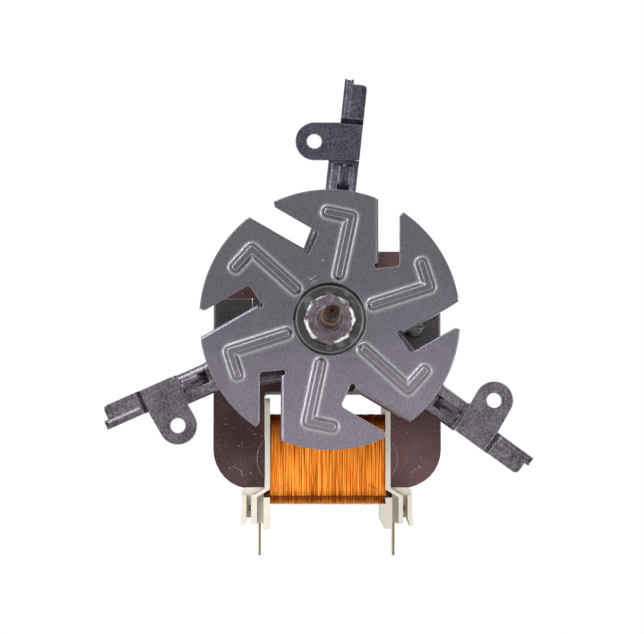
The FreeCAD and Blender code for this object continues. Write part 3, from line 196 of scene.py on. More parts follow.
class Signal:
    """A number that flows between nodes: arithmetic on it adds Math nodes."""

    def __init__(self, graph: Graph, socket: bpy.types.NodeSocket) -> None:
        """Wrap a socket of a graph."""
        self.graph = graph
        self.socket = socket

    def _math(self, operation: str, *terms: Any) -> "Signal":
        """Add a Math node that takes one or two terms in order."""
        inputs = dict(zip(("Value", "Value_001"), terms))
        return self.graph.signal("ShaderNodeMath", {"operation": operation}, inputs)

    def __add__(self, other: Any) -> "Signal":
        """Sum."""
        return self._math("ADD", self, other)

    def __sub__(self, other: Any) -> "Signal":
        """Difference."""
        return self._math("SUBTRACT", self, other)

    def __rsub__(self, other: Any) -> "Signal":
        """Difference from a number."""
        return self._math("SUBTRACT", other, self)

    def __mul__(self, other: Any) -> "Signal":
        """Product."""
        return self._math("MULTIPLY", self, other)

    def __truediv__(self, other: Any) -> "Signal":
        """Quotient."""
        return self._math("DIVIDE", self, other)

    def __pow__(self, other: Any) -> "Signal":
        """Power."""
        return self._math("POWER", self, other)

    def __gt__(self, other: Any) -> "Signal":
        """One where this is greater, and nought elsewhere."""
        return self._math("GREATER_THAN", self, other)

    __radd__ = __add__
    __rmul__ = __mul__

    def absolute(self) -> "Signal":
        """Size without sign."""
        return self._math("ABSOLUTE", self)

    def root(self) -> "Signal":
        """Square root."""
        return self._math("SQRT", self)

    def sine(self) -> "Signal":
        """Sine of an angle in radians."""
        return self._math("SINE", self)

    def or_more(self, other: Any) -> "Signal":
        """The larger of this and another."""
        return self._math("MAXIMUM", self, other)

    def between(self, low: float, high: float) -> "Signal":
        """Share of the way from low to high, kept from nought to one."""
        return self.graph.signal("ShaderNodeMapRange", {"clamp": True},
                                 {"Value": self, "From Min": low, "From Max": high}, "Result")


@dataclass(frozen=True)
class Pattern:
    """A noise pattern, and the stretch of its values over which a mark fades in."""

    size: float
    detail: float = 3.0
    roughness: float = 0.5
    stretch: tuple[float, float, float] = (1, 1, 1)
    low: float = 0.0
    high: float = 1.0


class Recipe(Graph):
    """A material's nodes: a Principled surface and what varies over it."""

    def __init__(self, name: str) -> None:
        """Start a material.

        Args:
            name: The material's name.
        """
        self.material = bpy.data.materials.new(name)
        self.material.use_nodes = True
        super().__init__(self.material.node_tree)
        self.place = self.node("ShaderNodeTexCoord").outputs["Object"]
        parts = self.node("ShaderNodeSeparateXYZ", {}, {"Vector": self.place}).outputs
        self.x, self.y, self.z = (Signal(self, part) for part in parts)

    def radius(self) -> Signal:
        """Distance from the shaft's axis in metres."""
        return (self.x ** 2 + self.z ** 2).root()

    def end_face(self) -> Signal:
        """One where the surface looks along the shaft's axis, nought round the sides."""
        normal = self.node("ShaderNodeNewGeometry").outputs["True Normal"]
        return self.signal("ShaderNodeSeparateXYZ", {}, {"Vector": normal}, "Y").absolute() > END_FACE

    def noise(self, pattern: Pattern) -> Signal:
        """A pattern's noise, from nought to one.

        Args:
            pattern: Its blots' size along an axis stretched by one, its octaves and its stretch.

        Returns:
            The noise.
        """
        place = self.node("ShaderNodeMapping", {}, {"Vector": self.place, "Scale": pattern.stretch})
        inputs = {"Vector": place.outputs[0], "Scale": 1 / pattern.size, "Detail": pattern.detail,
                  "Roughness": pattern.roughness}
        return self.signal("ShaderNodeTexNoise", {}, inputs, "Fac")

    def marks(self, pattern: Pattern) -> Signal:
        """A pattern's marks: nought at its low value, rising to one at its high one."""
        return self.noise(pattern).between(pattern.low, pattern.high)

    def edges(self, radius: float, start: float = 0.01, full: float = 0.16) -> Signal:
        """Where faces meet at an edge.

        Args:
            radius: Reach from the edge in metres.
            start: Bend at which the mask begins, one less the cosine of the angle.
            full: Bend at which it is one.

        Returns:
            Nought on open faces, rising to one at an edge.
        """
        soft = self.node("ShaderNodeBevel", {"samples": EDGE_RAYS}, {"Radius": radius}).outputs[0]
        hard = self.node("ShaderNodeNewGeometry").outputs["Normal"]
        level = self.signal("ShaderNodeVectorMath", {"operation": "DOT_PRODUCT"},
                            {"Vector": soft, "Vector_001": hard}, "Value")
        return (1 - level).between(start, full)

    def cavity(self, reach: float) -> Signal:
        """Where the piece's own folds and corners are.

        Args:
            reach: How far away a wall still counts, in metres.

        Returns:
            Nought in the open, rising to one deep in a fold.
        """
        shaded = self.signal("ShaderNodeAmbientOcclusion", {"samples": FOLD_RAYS, "only_local": True},
                             {"Distance": reach}, "AO")
        return 1 - shaded

    def ring(self, start: float, end: float, fade: float = 0.1 * MM) -> Signal:
        """One between two radii about the shaft, beyond each of which it fades."""
        return self.radius().between(start, start + fade) * (1 - self.radius().between(end, end + fade))

    def sector(self, angle: float, half_width: float, inside: float = 0.03, outside: float = 0.02) -> Signal:
        """One within an angle either side of a direction about the shaft.

        Args:
            angle: The direction in degrees.
            half_width: The angle on each side in degrees.
            inside: How far the fade reaches inwards, as a cosine.
            outside: How far it reaches outwards.

        Returns:
            The mask.
        """
        turn, edge = math.radians(angle), math.cos(math.radians(half_width))
        towards = (self.x * math.cos(turn) + self.z * math.sin(turn)) / self.radius()
        return towards.between(edge - outside, edge + inside)

    def scratch(self, x: float, z: float, angle: float, length: float, width: float = 0.14 * MM,
                fade: float = 0.2) -> Signal:
        """A short straight scratch on a face that looks along Y.

        Args:
            x: Its middle across.
            z: Its middle upwards.
            angle: Its slope in degrees.
            length: Its length.
            width: How far it fades out on each side.
            fade: Share of its length over which each end fades.

        Returns:
            One along the scratch.
        """
        turn = math.radians(angle)
        across, up = self.x - x, self.z - z
        along = (across * math.cos(turn) + up * math.sin(turn)).absolute()
        aside = (up * math.cos(turn) - across * math.sin(turn)).absolute()
        return (1 - along.between(length * (0.5 - fade), length / 2)) * (1 - aside.between(0.0, width))

    def scaled(self, colour: Any, factor: Signal) -> bpy.types.NodeSocket:
        """A colour made lighter or darker by a signal."""
        return self.node("ShaderNodeVectorMath", {"operation": "SCALE"},
                         {"Vector": colour, "Scale": factor}).outputs[0]

    def blend(self, share: Any, first: Any, second: Any) -> bpy.types.NodeSocket:
        """Mix two colours.

        Args:
            share: How much of the second colour.
            first: The colour at nought.
            second: The colour at one.

        Returns:
            The mixed colour.
        """
        inputs = {"Factor_Float": share, "A_Color": first, "B_Color": second}
        node = self.node("ShaderNodeMix", {"data_type": "RGBA"}, inputs)
        return find_socket(node.outputs, "Result_Color")

    def surface(self, bump: tuple[Signal, float, float] | None = None, edge: float = 0.0,
                **inputs: Any) -> None:
        """Finish the material with a Principled surface.

        Args:
            bump: Height signal, its strength and its distance in metres.
            edge: Radius in metres by which edges are softened.
            inputs: Principled inputs, with underscores for spaces.
        """
        named = {name.replace("_", " "): value for name, value in inputs.items()}
        normal = None
        if edge:
            normal = self.node("ShaderNodeBevel", {"samples": EDGE_RAYS}, {"Radius": edge}).outputs[0]
        if bump:
            height, strength, distance = bump
            taken = {"Height": height, "Strength": strength, "Distance": distance}
            if normal:
                taken["Normal"] = normal
            normal = self.node("ShaderNodeBump", {}, taken).outputs[0]
        if normal:
            named["Normal"] = normal
        shader = self.node("ShaderNodeBsdfPrincipled", {}, named)
        self.node("ShaderNodeOutputMaterial", {}, {"Surface": shader.outputs[0]})


@dataclass(frozen=True)
class Finish:
    """What every finish has: a colour, a gloss, and how far its edges are softened."""

    colour: Colour
    roughness: float
    metallic: float = 1.0
    edge: float = 0.12 * MM

    def material(self, name: str) -> bpy.types.Material:
        """Build the finish's material.

        Args:
            name: The slot's name, which the material takes.

        Returns:
            The material.
        """
        recipe = Recipe(name)
        self.paint(recipe)
        return recipe.material

    def paint(self, recipe: Recipe) -> None:
        """Add this finish's nodes to a material."""
        raise NotImplementedError

    def shade(self, factor: float) -> Colour:
        """The finish's colour, made darker or lighter by a factor."""
        return tuple(min(1.0, part * factor) for part in self.colour)


@dataclass(frozen=True)
class RolledSteel(Finish):
    """Sheet steel with fine rolling streaks along Z, faint stains, and sheared edges lightened by rubbing
    and painted highlight.
    """

    streaks: Pattern = Pattern(0.28 * MM, 2.0, stretch=(1, 1, 0.07))
    streak_depth: float = 0.32
    streak_gloss: float = 0.16
    grain: Pattern = Pattern(0.42 * MM, 2.0)
    grain_depth: float = 0.95
    stains: Pattern = Pattern(14 * MM, 4.0, 0.62, low=0.35, high=0.7)
    stain_share: float = 0.14
    stain_shade: float = 0.3
    stain_gloss: float = 0.06
    edge_reach: float = 0.22 * MM
    edge_share: float = 0.75
    edge_gain: float = 1.9
    edge_gloss: float = 0.12
    streak_relief: float = 0.6
    grain_relief: float = 0.7
    bump: float = 0.35
    relief: float = 0.02 * MM

    def rolled(self, recipe: Recipe, base: Any) -> tuple[bpy.types.NodeSocket, Signal, Signal]:
        """Put streaks and grain on a base colour.

        Args:
            recipe: The material under construction.
            base: The colour under them.

        Returns:
            The streaked colour, the gloss of the streaks and the height of streaks and grain.
        """
        streaks = recipe.noise(self.streaks)
        grain = recipe.noise(self.grain)
        tone = (streaks - 0.5) * self.streak_depth + (grain - 0.5) * self.grain_depth + 1
        gloss = self.roughness + (streaks - 0.5) * self.streak_gloss
        height = streaks * self.streak_relief + grain * self.grain_relief
        return recipe.scaled(base, tone), gloss, height

    def paint(self, recipe: Recipe) -> None:
        """Add the streaks, stains and edges.

        Args:
            recipe: The material under construction.
        """
        body, gloss, height = self.rolled(recipe, self.colour)
        stains = recipe.marks(self.stains)
        body = recipe.blend(stains * self.stain_share, body, self.shade(self.stain_shade))
        # Edges lightened: partly rubbing, partly painted highlight.
        edge_scuff_and_highlight = recipe.edges(self.edge_reach)
        colour = recipe.blend(edge_scuff_and_highlight * self.edge_share, body, self.shade(self.edge_gain))
        gloss = gloss + stains * self.stain_gloss - edge_scuff_and_highlight * self.edge_gloss
        recipe.surface((height, self.bump, self.relief), self.edge, Base_Color=colour,
                       Roughness=gloss, Metallic=self.metallic)


@dataclass(frozen=True)
class StampedFan(RolledSteel):
    """The fan's sheet: rolled steel, with painted light, painted shade and painted highlights at its bends.
    """

    # Painted light: the sheet's colour towards the bottom, painted lighter.
    painted_light_colour: Colour = (0.215, 0.195, 0.228)
    # Painted shade: the dark colour of the dish round the hub.
    dish_shade: Colour = (0.045, 0.049, 0.046)
    # Painted reflection: pale patches in the dark dish.
    dish_reflection: Colour = (0.15, 0.17, 0.155)
    # Painted light: the dish's slope is painted lighter, where its reflection falls dark.
    slope_painted_light: Colour = (0.25, 0.26, 0.255)
    # Painted shade: the paddles and the sheet behind its front face, painted darker.
    behind_shade: Colour = (0.060, 0.050, 0.044)
    rust: Colour = (0.30, 0.20, 0.18)
    # Painted highlight at the bends, bead feet and rim, and the colour of the scratches.
    highlight_and_scuff: Colour = (0.88, 0.86, 0.90)
    clouds: Pattern = Pattern(12 * MM)
    cloud_shift: float = 30 * MM
    lower_tilt: float = 0.12
    lower_fade: tuple[float, float] = (-12 * MM, 38 * MM)
    sheen: Pattern = Pattern(5 * MM, 2.0, 0.6, low=0.52, high=0.66)
    sheen_share: float = 0.8
    dish_edge: float = 11.2 * MM
    dish_fade: float = 0.9 * MM
    dish_share: float = 0.9
    slope_width: float = 1.2 * MM
    slope_share: float = 0.8
    rim_radius: float = 12.35 * MM
    rim_width: float = 0.15 * MM
    rim_share: float = 0.5
    dull_rim: tuple[float, float] = (90, 55)
    sheet_front: float = -12.0 * MM
    behind_shade_start: float = 1.2 * MM
    behind_shade_end: float = 4 * MM
    behind_shade_share: float = 0.45
    bead_crown: tuple[float, float] = (0.95 * MM, 0.7 * MM)
    bend_reach: float = 0.42 * MM
    bend_fade: tuple[float, float] = (0.006, 0.07)
    bend_share: float = 0.45
    foot_reach: float = 1.6 * MM
    foot_fade: tuple[float, float] = (0.03, 0.13)
    foot_share: float = 0.3
    spot_x: float = -2.4 * MM
    spot_z: float = 20.3 * MM
    spot_fade: tuple[float, float] = (0.3 * MM, 0.7 * MM)
    scratches: tuple[tuple[float, float, float, float], ...] = (
        (-5.7 * MM, 14.4 * MM, 34, 3.6 * MM), (-5.4 * MM, 12.9 * MM, 36, 3.2 * MM),
        (-6.6 * MM, 13.9 * MM, -35, 2.6 * MM))
    scratch_share: float = 0.4
    bend_gloss: float = 0.1
    bump: float = 0.4

    def paint(self, recipe: Recipe) -> None:
        """Add the streaks, the painted light and shade, the painted highlights and a few marks of use.

        Args:
            recipe: The material under construction.
        """
        # Painted light: the sheet is painted lighter towards the bottom, with a cloudy border.
        clouds = (recipe.noise(self.clouds) - 0.5) * self.cloud_shift
        painted_light = (recipe.x * self.lower_tilt - recipe.z + clouds).between(*self.lower_fade)
        body, gloss, height = self.rolled(recipe, recipe.blend(painted_light, self.colour, self.painted_light_colour))
        # Painted shade: the dish round the hub is painted dark.
        dish = 1 - recipe.radius().between(self.dish_edge, self.dish_edge + self.dish_fade)
        # Painted reflection: pale patches in the dish.
        sheen = recipe.marks(self.sheen) * self.sheen_share
        painted_dish = recipe.blend(sheen, self.dish_shade, self.dish_reflection)
        body = recipe.blend(dish * self.dish_share, body, painted_dish)
        # Painted light: the dish's slope is painted lighter.
        slope = recipe.ring(self.dish_edge, self.dish_edge + self.slope_width)
        body = recipe.blend(slope * self.slope_share, body, self.slope_painted_light)
        # Painted shade: the paddles and the sheet behind its front face are painted darker.
        behind = recipe.y.between(self.sheet_front + self.behind_shade_start, self.sheet_front + self.behind_shade_end)
        body = recipe.blend(behind * self.behind_shade_share, body, self.behind_shade)
        body = recipe.blend(self._spot(recipe), body, self.rust)
        # Painted highlight at the bends, partly rubbing too.
        highlight_and_scuff = recipe.edges(self.bend_reach, *self.bend_fade)
        highlights_and_scratches = self._painted_highlights(recipe, highlight_and_scuff, 1 - slope, 1 - dish)
        highlights_and_scratches = highlights_and_scratches + self._scratched(recipe) * self.scratch_share
        colour = recipe.blend(highlights_and_scratches.between(0.0, 1.0), body, self.highlight_and_scuff)
        recipe.surface((height, self.bump, self.relief), self.edge, Base_Color=colour,
                       Roughness=gloss + highlight_and_scuff * self.bend_gloss, Metallic=self.metallic)

    def _spot(self, recipe: Recipe) -> Signal:
        """One rusty spot above the hub."""
        away = ((recipe.x - self.spot_x) ** 2 + (recipe.z - self.spot_z) ** 2).root()
        return 1 - away.between(*self.spot_fade)

    def _scratched(self, recipe: Recipe) -> Signal:
        """The scratches beside the hub, taken together."""
        marks = [recipe.scratch(*scratch) for scratch in self.scratches]
        return sum(marks[1:], marks[0])

    def _painted_highlights(self, recipe: Recipe, highlight_and_scuff: Signal, off_slope: Signal, off_dish: Signal) -> Signal:
        """Painted highlights: the bends, partly rubbing too, the feet of the beads and the dish's rim.

        Args:
            recipe: The material under construction.
            highlight_and_scuff: One at the bends.
            off_slope: One outside the dish's slope.
            off_dish: One outside the dish.

        Returns:
            How much is painted highlight.
        """
        # Painted highlight at the feet of the beads and on the dish's rim, beside that at the bends.
        crown = 1 - recipe.y.between(*(self.sheet_front - depth for depth in self.bead_crown))
        foot = recipe.cavity(self.foot_reach).between(*self.foot_fade) * (1 - crown) * off_dish * off_slope
        rim = recipe.ring(self.rim_radius, self.rim_radius + self.rim_width)
        rim = rim * (1 - recipe.sector(*self.dull_rim))
        bends = highlight_and_scuff * off_slope * self.bend_share
        return bends.or_more(foot * self.foot_share).or_more(rim * self.rim_share)


@dataclass(frozen=True)
class ZincPlate(Finish):
    """Dull zinc plate: purple-grey speckle, painted shade and light, painted glints, and edges lightened
    partly as painted highlight.
    """

    # Painted shade: the colour towards the top, painted darker.
    top_shade: Colour = (0.062, 0.059, 0.080)
    # Painted shade: the colour deep in folds and corners.
    fold_shade_colour: Colour = (0.030, 0.025, 0.027)
    stain: Colour = (0.045, 0.034, 0.034)
    # The colour of the painted glints and of edges lightened partly by rubbing, partly as painted highlight.
    highlight_and_scuff: Colour = (0.50, 0.48, 0.52)
    speckle: Pattern = Pattern(0.85 * MM, 4.0, 0.72)
    speckle_depth: float = 3.6
    speckle_gloss: float = 0.4
    clouds: Pattern = Pattern(6 * MM, 4.0, 0.6)
    cloud_depth: float = 1.8
    cloud_shift: float = 40 * MM
    upper_fade: tuple[float, float] = (0.0, 60 * MM)
    cloud_relief: float = 0.8
    # Painted glints: small bright points in the speckle.
    sparkle: Pattern = Pattern(0.5 * MM, 2.0, 0.6, low=0.60, high=0.74)
    sparkle_share: float = 0.35
    stains: Pattern = Pattern(3.4 * MM, 3.0, 0.6, low=0.60, high=0.70)
    stain_share: float = 0.5
    # Painted light: the arms are painted lighter where they reach out beyond the fan.
    arm_start: tuple[float, float] = (41 * MM, 45 * MM)
    arm_end: tuple[float, float] = (47 * MM, 57 * MM)
    arm_painted_light: float = 0.4
    plain_gain: float = 0.94
    fold_reach: float = 3.6 * MM
    fold_fade: tuple[float, float] = (0.2, 0.9)
    fold_share: float = 0.4
    edge_reach: float = 0.34 * MM
    edge_fade: tuple[float, float] = (0.01, 0.12)
    edge_share: float = 0.7
    edge_gloss: float = 0.08
    bump: float = 0.5
    relief: float = 0.04 * MM

    def paint(self, recipe: Recipe) -> None:
        """Add the speckle, the stains, the painted shade, light and glints, and the edges.

        Args:
            recipe: The material under construction.
        """
        speckle = recipe.noise(self.speckle)
        clouds = recipe.noise(self.clouds)
        # Painted shade: the plate is painted darker towards the top, with a cloudy border.
        above = (recipe.z + (clouds - 0.5) * self.cloud_shift).between(*self.upper_fade)
        base = recipe.blend(above, self.colour, self.top_shade)
        tone = (speckle - 0.5) * self.speckle_depth + (clouds - 0.5) * self.cloud_depth + 1
        body = recipe.scaled(base, tone)
        # Painted glints in the speckle.
        body = recipe.blend(recipe.marks(self.sparkle) * self.sparkle_share, body, self.highlight_and_scuff)
        body = recipe.blend(recipe.marks(self.stains) * self.stain_share, body, self.stain)
        # Painted light: the arms are painted lighter beyond the fan.
        arm = recipe.radius().between(*self.arm_start) * (1 - recipe.radius().between(*self.arm_end))
        body = recipe.scaled(body, arm * self.arm_painted_light + self.plain_gain)
        # Painted shade: folds and corners are painted darker.
        folds = recipe.cavity(self.fold_reach).between(*self.fold_fade)
        body = recipe.blend(folds * self.fold_share, body, self.fold_shade_colour)
        # Edges lightened: partly rubbing, partly painted highlight.
        edge_scuff_and_highlight = recipe.edges(self.edge_reach, *self.edge_fade)
        colour = recipe.blend(edge_scuff_and_highlight * self.edge_share, body, self.highlight_and_scuff)
        gloss = self.roughness + (speckle - 0.5) * self.speckle_gloss + edge_scuff_and_highlight * self.edge_gloss
        height = speckle + clouds * self.cloud_relief
        recipe.surface((height, self.bump, self.relief), self.edge, Base_Color=colour, Roughness=gloss,
                       Metallic=self.metallic)


@dataclass(frozen=True)
class TurnedMetal(Finish):
    """Turned or drawn metal: fine rings about the shaft axis, a little tarnish, and a warm painted
    reflection inside.
    """

    ring_pitch: float = 0.14 * MM
    ring_gloss: float = 0.03
    line_pitch: float = 1.3
    line_relief: float = 0.6
    blots: Pattern = Pattern(1.9 * MM, 4.0, 0.65, low=0.40, high=0.66)
    tarnish: Colour = (0.14, 0.10, 0.08)
    tarnish_share: float = 0.35
    tarnish_gloss: float = 0.18
    grain: Pattern = Pattern(0.3 * MM, 2.0, low=0.45, high=0.8)
    grain_gain: float = 1.7
    grain_share: float = 0.3
    grain_relief: float = 1.6
    # Painted reflection: a warm colour near the axis, within the set radius.
    reflection_tint: Colour = (0.22, 0.115, 0.045)
    tint_radius: float = 0.0
    tint_fade: float = 1.12
    tint_share: float = 0.8
    edge_reach: float = 0.24 * MM
    edge_fade: tuple[float, float] = (0.01, 0.14)
    edge_share: float = 0.8
    edge_gain: float = 2.1
    bump: float = 0.25
    relief: float = 0.012 * MM

    def marks_and_painted_light(self, recipe: Recipe, body: Any) -> Any:
        """Let a finish of this kind change places of its own."""
        return body

    def paint(self, recipe: Recipe) -> None:
        """Add the rings, the tarnish, the warm painted reflection and the edges.

        Args:
            recipe: The material under construction.
        """
        radius = recipe.radius()
        rings = (radius * (math.tau / self.ring_pitch)).sine()
        lines = (recipe.y * (math.tau / self.ring_pitch / self.line_pitch)).sine()
        blots = recipe.marks(self.blots)
        grain = recipe.noise(self.grain)
        body = recipe.blend(blots * self.tarnish_share, self.colour, self.tarnish)
        # Painted reflection: a warm colour near the axis.
        if self.tint_radius:
            reflection_mask = 1 - radius.between(self.tint_radius, self.tint_radius * self.tint_fade)
            body = recipe.blend(reflection_mask * self.tint_share, body, self.reflection_tint)
        flecks = grain.between(self.grain.low, self.grain.high)
        body = recipe.blend(flecks * self.grain_share, body, self.shade(self.grain_gain))
        body = self.marks_and_painted_light(recipe, body)
        # Edges lightened: partly rubbing, partly painted highlight.
        edge_scuff_and_highlight = recipe.edges(self.edge_reach, *self.edge_fade)
        colour = recipe.blend(edge_scuff_and_highlight * self.edge_share, body, self.shade(self.edge_gain))
        gloss = self.roughness + blots * self.tarnish_gloss + rings * self.ring_gloss
        height = rings + lines * self.line_relief + grain * self.grain_relief
        recipe.surface((height, self.bump, self.relief), self.edge, Base_Color=colour, Roughness=gloss,
                       Metallic=self.metallic)


@dataclass(frozen=True)
class StakedHub(TurnedMetal):
    """The hub's turned face, with painted highlights on arcs of its round rim."""

    # Painted highlight: the colour of the rim's bright arcs.
    bright: Colour = (0.80, 0.82, 0.76)
    rim_fade: tuple[float, float] = (8.0 * MM, 8.3 * MM)
    rim_waves: Pattern = Pattern(1.6 * MM, 2.0)
    rim_shift: float = 1.2 * MM
    arcs: tuple[tuple[float, float], ...] = ((207, 26), (-58, 20), (8, 21), (58, 7), (148, 6))
    arc_share: float = 0.85

    def marks_and_painted_light(self, recipe: Recipe, body: Any) -> Any:
        """Paint highlights on the arcs of the rim.

        Args:
            recipe: The material under construction.
            body: The colour so far.

        Returns:
            The colour with its painted highlights.
        """
        # Painted highlight on arcs of the rim, with an uneven inner border.
        arc = recipe.sector(*self.arcs[0])
        for angle, half_width in self.arcs[1:]:
            arc = arc.or_more(recipe.sector(angle, half_width))
        uneven = recipe.noise(self.rim_waves) * self.rim_shift + recipe.radius()
        return recipe.blend(arc * uneven.between(*self.rim_fade) * self.arc_share, body, self.bright)


@dataclass(frozen=True)
class GroundShaft(TurnedMetal):
    """The shaft: ground steel round the sides, with painted shade on its end faces and a brown centre mark.
    """

    # Painted shade: the colour of the end faces.
    end: Colour = (0.026, 0.023, 0.024)
    centre: Colour = (0.046, 0.023, 0.012)
    centre_fade: tuple[float, float] = (1.4 * MM, 1.68 * MM)

    def marks_and_painted_light(self, recipe: Recipe, body: Any) -> Any:
        """Paint shade on the end face and stain its middle."""
        middle = 1 - recipe.radius().between(*self.centre_fade)
        return recipe.blend(recipe.end_face(), body, recipe.blend(middle, self.end, self.centre))


@dataclass(frozen=True)
class LaminatedIron(Finish):
    """Stacked electrical sheets: dusty reddish varnish on the faces, painted light towards the right, and
    sheet lines round the sides.
    """

    clouds: Pattern = Pattern(11 * MM, 4.0, 0.6)
    cloud_depth: float = 0.8
    cloud_shift: float = 60 * MM
    cloud_gloss: float = 0.25
    cloud_relief: float = 0.6
    grit: Pattern = Pattern(0.5 * MM, 3.0, 0.7)
    grit_depth: float = 1.3
    grit_relief: float = 0.6
    dust: Pattern = Pattern(0.6 * MM, 1.0, low=0.71, high=0.77)
    dust_colour: Colour = (0.62, 0.54, 0.50)
    dust_share: float = 0.6
    rust: Pattern = Pattern(5 * MM, 5.0, 0.7, low=0.52, high=0.72)
    rust_colour: Colour = (0.15, 0.055, 0.04)
    rust_share: float = 0.25
    # Painted light and shade: the core is painted darker on the left and lighter on the right.
    across_fade: tuple[float, float] = (-30 * MM, 45 * MM)
    left_painted_shade: float = 0.82
    right_painted_light: float = 1.65
    line_fade: tuple[float, float] = (-0.2, 0.9)
    line_gain: float = 2.6
    line_share: float = 0.55
    line_relief: float = 0.7
    edge_reach: float = 0.25 * MM
    edge_share: float = 0.3
    edge_gain: float = 3.4
    bump: float = 0.5
    relief: float = 0.06 * MM

    def paint(self, recipe: Recipe) -> None:
        """Add the painted light and shade, the dust, the rusty colour, the sheet lines and the edges.

        Args:
            recipe: The material under construction.
        """
        clouds = recipe.noise(self.clouds)
        grit = recipe.noise(self.grit)
        # Painted light and shade: darker on the left, lighter on the right, with a cloudy border.
        rightward = (recipe.x + (clouds - 0.5) * self.cloud_shift).between(*self.across_fade)
        body = recipe.blend(rightward, self.shade(self.left_painted_shade), self.shade(self.right_painted_light))
        body = recipe.scaled(body, (grit - 0.5) * self.grit_depth + (clouds - 0.5) * self.cloud_depth + 1)
        body = recipe.blend(recipe.marks(self.rust) * self.rust_share, body, self.rust_colour)
        body = recipe.blend(recipe.marks(self.dust) * self.dust_share, body, self.dust_colour)
        lines = (recipe.y * (math.tau / SHEET)).sine()
        side = 1 - recipe.end_face()
        lined = side * lines.between(*self.line_fade) * self.line_share
        body = recipe.blend(lined, body, self.shade(self.line_gain))
        # Edges lightened: partly rubbing, partly painted highlight.
        edge_scuff_and_highlight = recipe.edges(self.edge_reach)
        colour = recipe.blend(edge_scuff_and_highlight * self.edge_share, body, self.shade(self.edge_gain))
        height = side * lines * self.line_relief + grit * self.grit_relief + clouds * self.cloud_relief
        gloss = self.roughness + (clouds - 0.5) * self.cloud_gloss
        recipe.surface((height, self.bump, self.relief), self.edge, Base_Color=colour, Roughness=gloss,
                       Metallic=self.metallic)


@dataclass(frozen=True)
class Moulding(Finish):
    """Moulded plastic: even colour, faint sink marks, soft grain, smears, and painted shade in its folds."""

    # The colour of the smears of dirt and of the painted shade in folds.
    dirt_and_fold_shade: Colour = (0.25, 0.22, 0.145)
    sink: Pattern = Pattern(7 * MM, 2.0, low=0.35, high=0.65)
    sink_shades: tuple[float, float] = (0.95, 1.04)
    sink_gloss: float = 0.2
    grain: Pattern = Pattern(0.25 * MM, 2.0)
    grain_relief: float = 0.15
    smears: Pattern = Pattern(4 * MM, 4.0, 0.65, low=0.55, high=0.75)
    smear_share: float = 0.15
    fold_reach: float = 6 * MM
    fold_fade: tuple[float, float] = (0.14, 0.80)
    fold_share: float = 0.95
    bump: float = 0.25
    relief: float = 0.1 * MM
    glow_share: float = 0.08
    glow_reach: tuple[float, float, float] = (0.004, 0.003, 0.002)
    glow_scale: float = 0.3

    def paint(self, recipe: Recipe) -> None:
        """Add the sink marks, grain, smears and painted shade in the folds.

        Args:
            recipe: The material under construction.
        """
        sink = recipe.noise(self.sink)
        grain = recipe.noise(self.grain)
        uneven = sink.between(self.sink.low, self.sink.high)
        body = recipe.blend(uneven, *(self.shade(factor) for factor in self.sink_shades))
        body = recipe.blend(recipe.marks(self.smears) * self.smear_share, body, self.dirt_and_fold_shade)
        # Painted shade: folds and recesses are painted darker.
        painted_fold_shade = recipe.cavity(self.fold_reach).between(*self.fold_fade)
        colour = recipe.blend(painted_fold_shade * self.fold_share, body, self.dirt_and_fold_shade)
        gloss = self.roughness + (sink - 0.5) * self.sink_gloss
        height = sink + grain * self.grain_relief
        recipe.surface((height, self.bump, self.relief), self.edge, Base_Color=colour, Roughness=gloss,
                       Metallic=self.metallic, Subsurface_Weight=self.glow_share,
                       Subsurface_Radius=self.glow_reach, Subsurface_Scale=self.glow_scale)


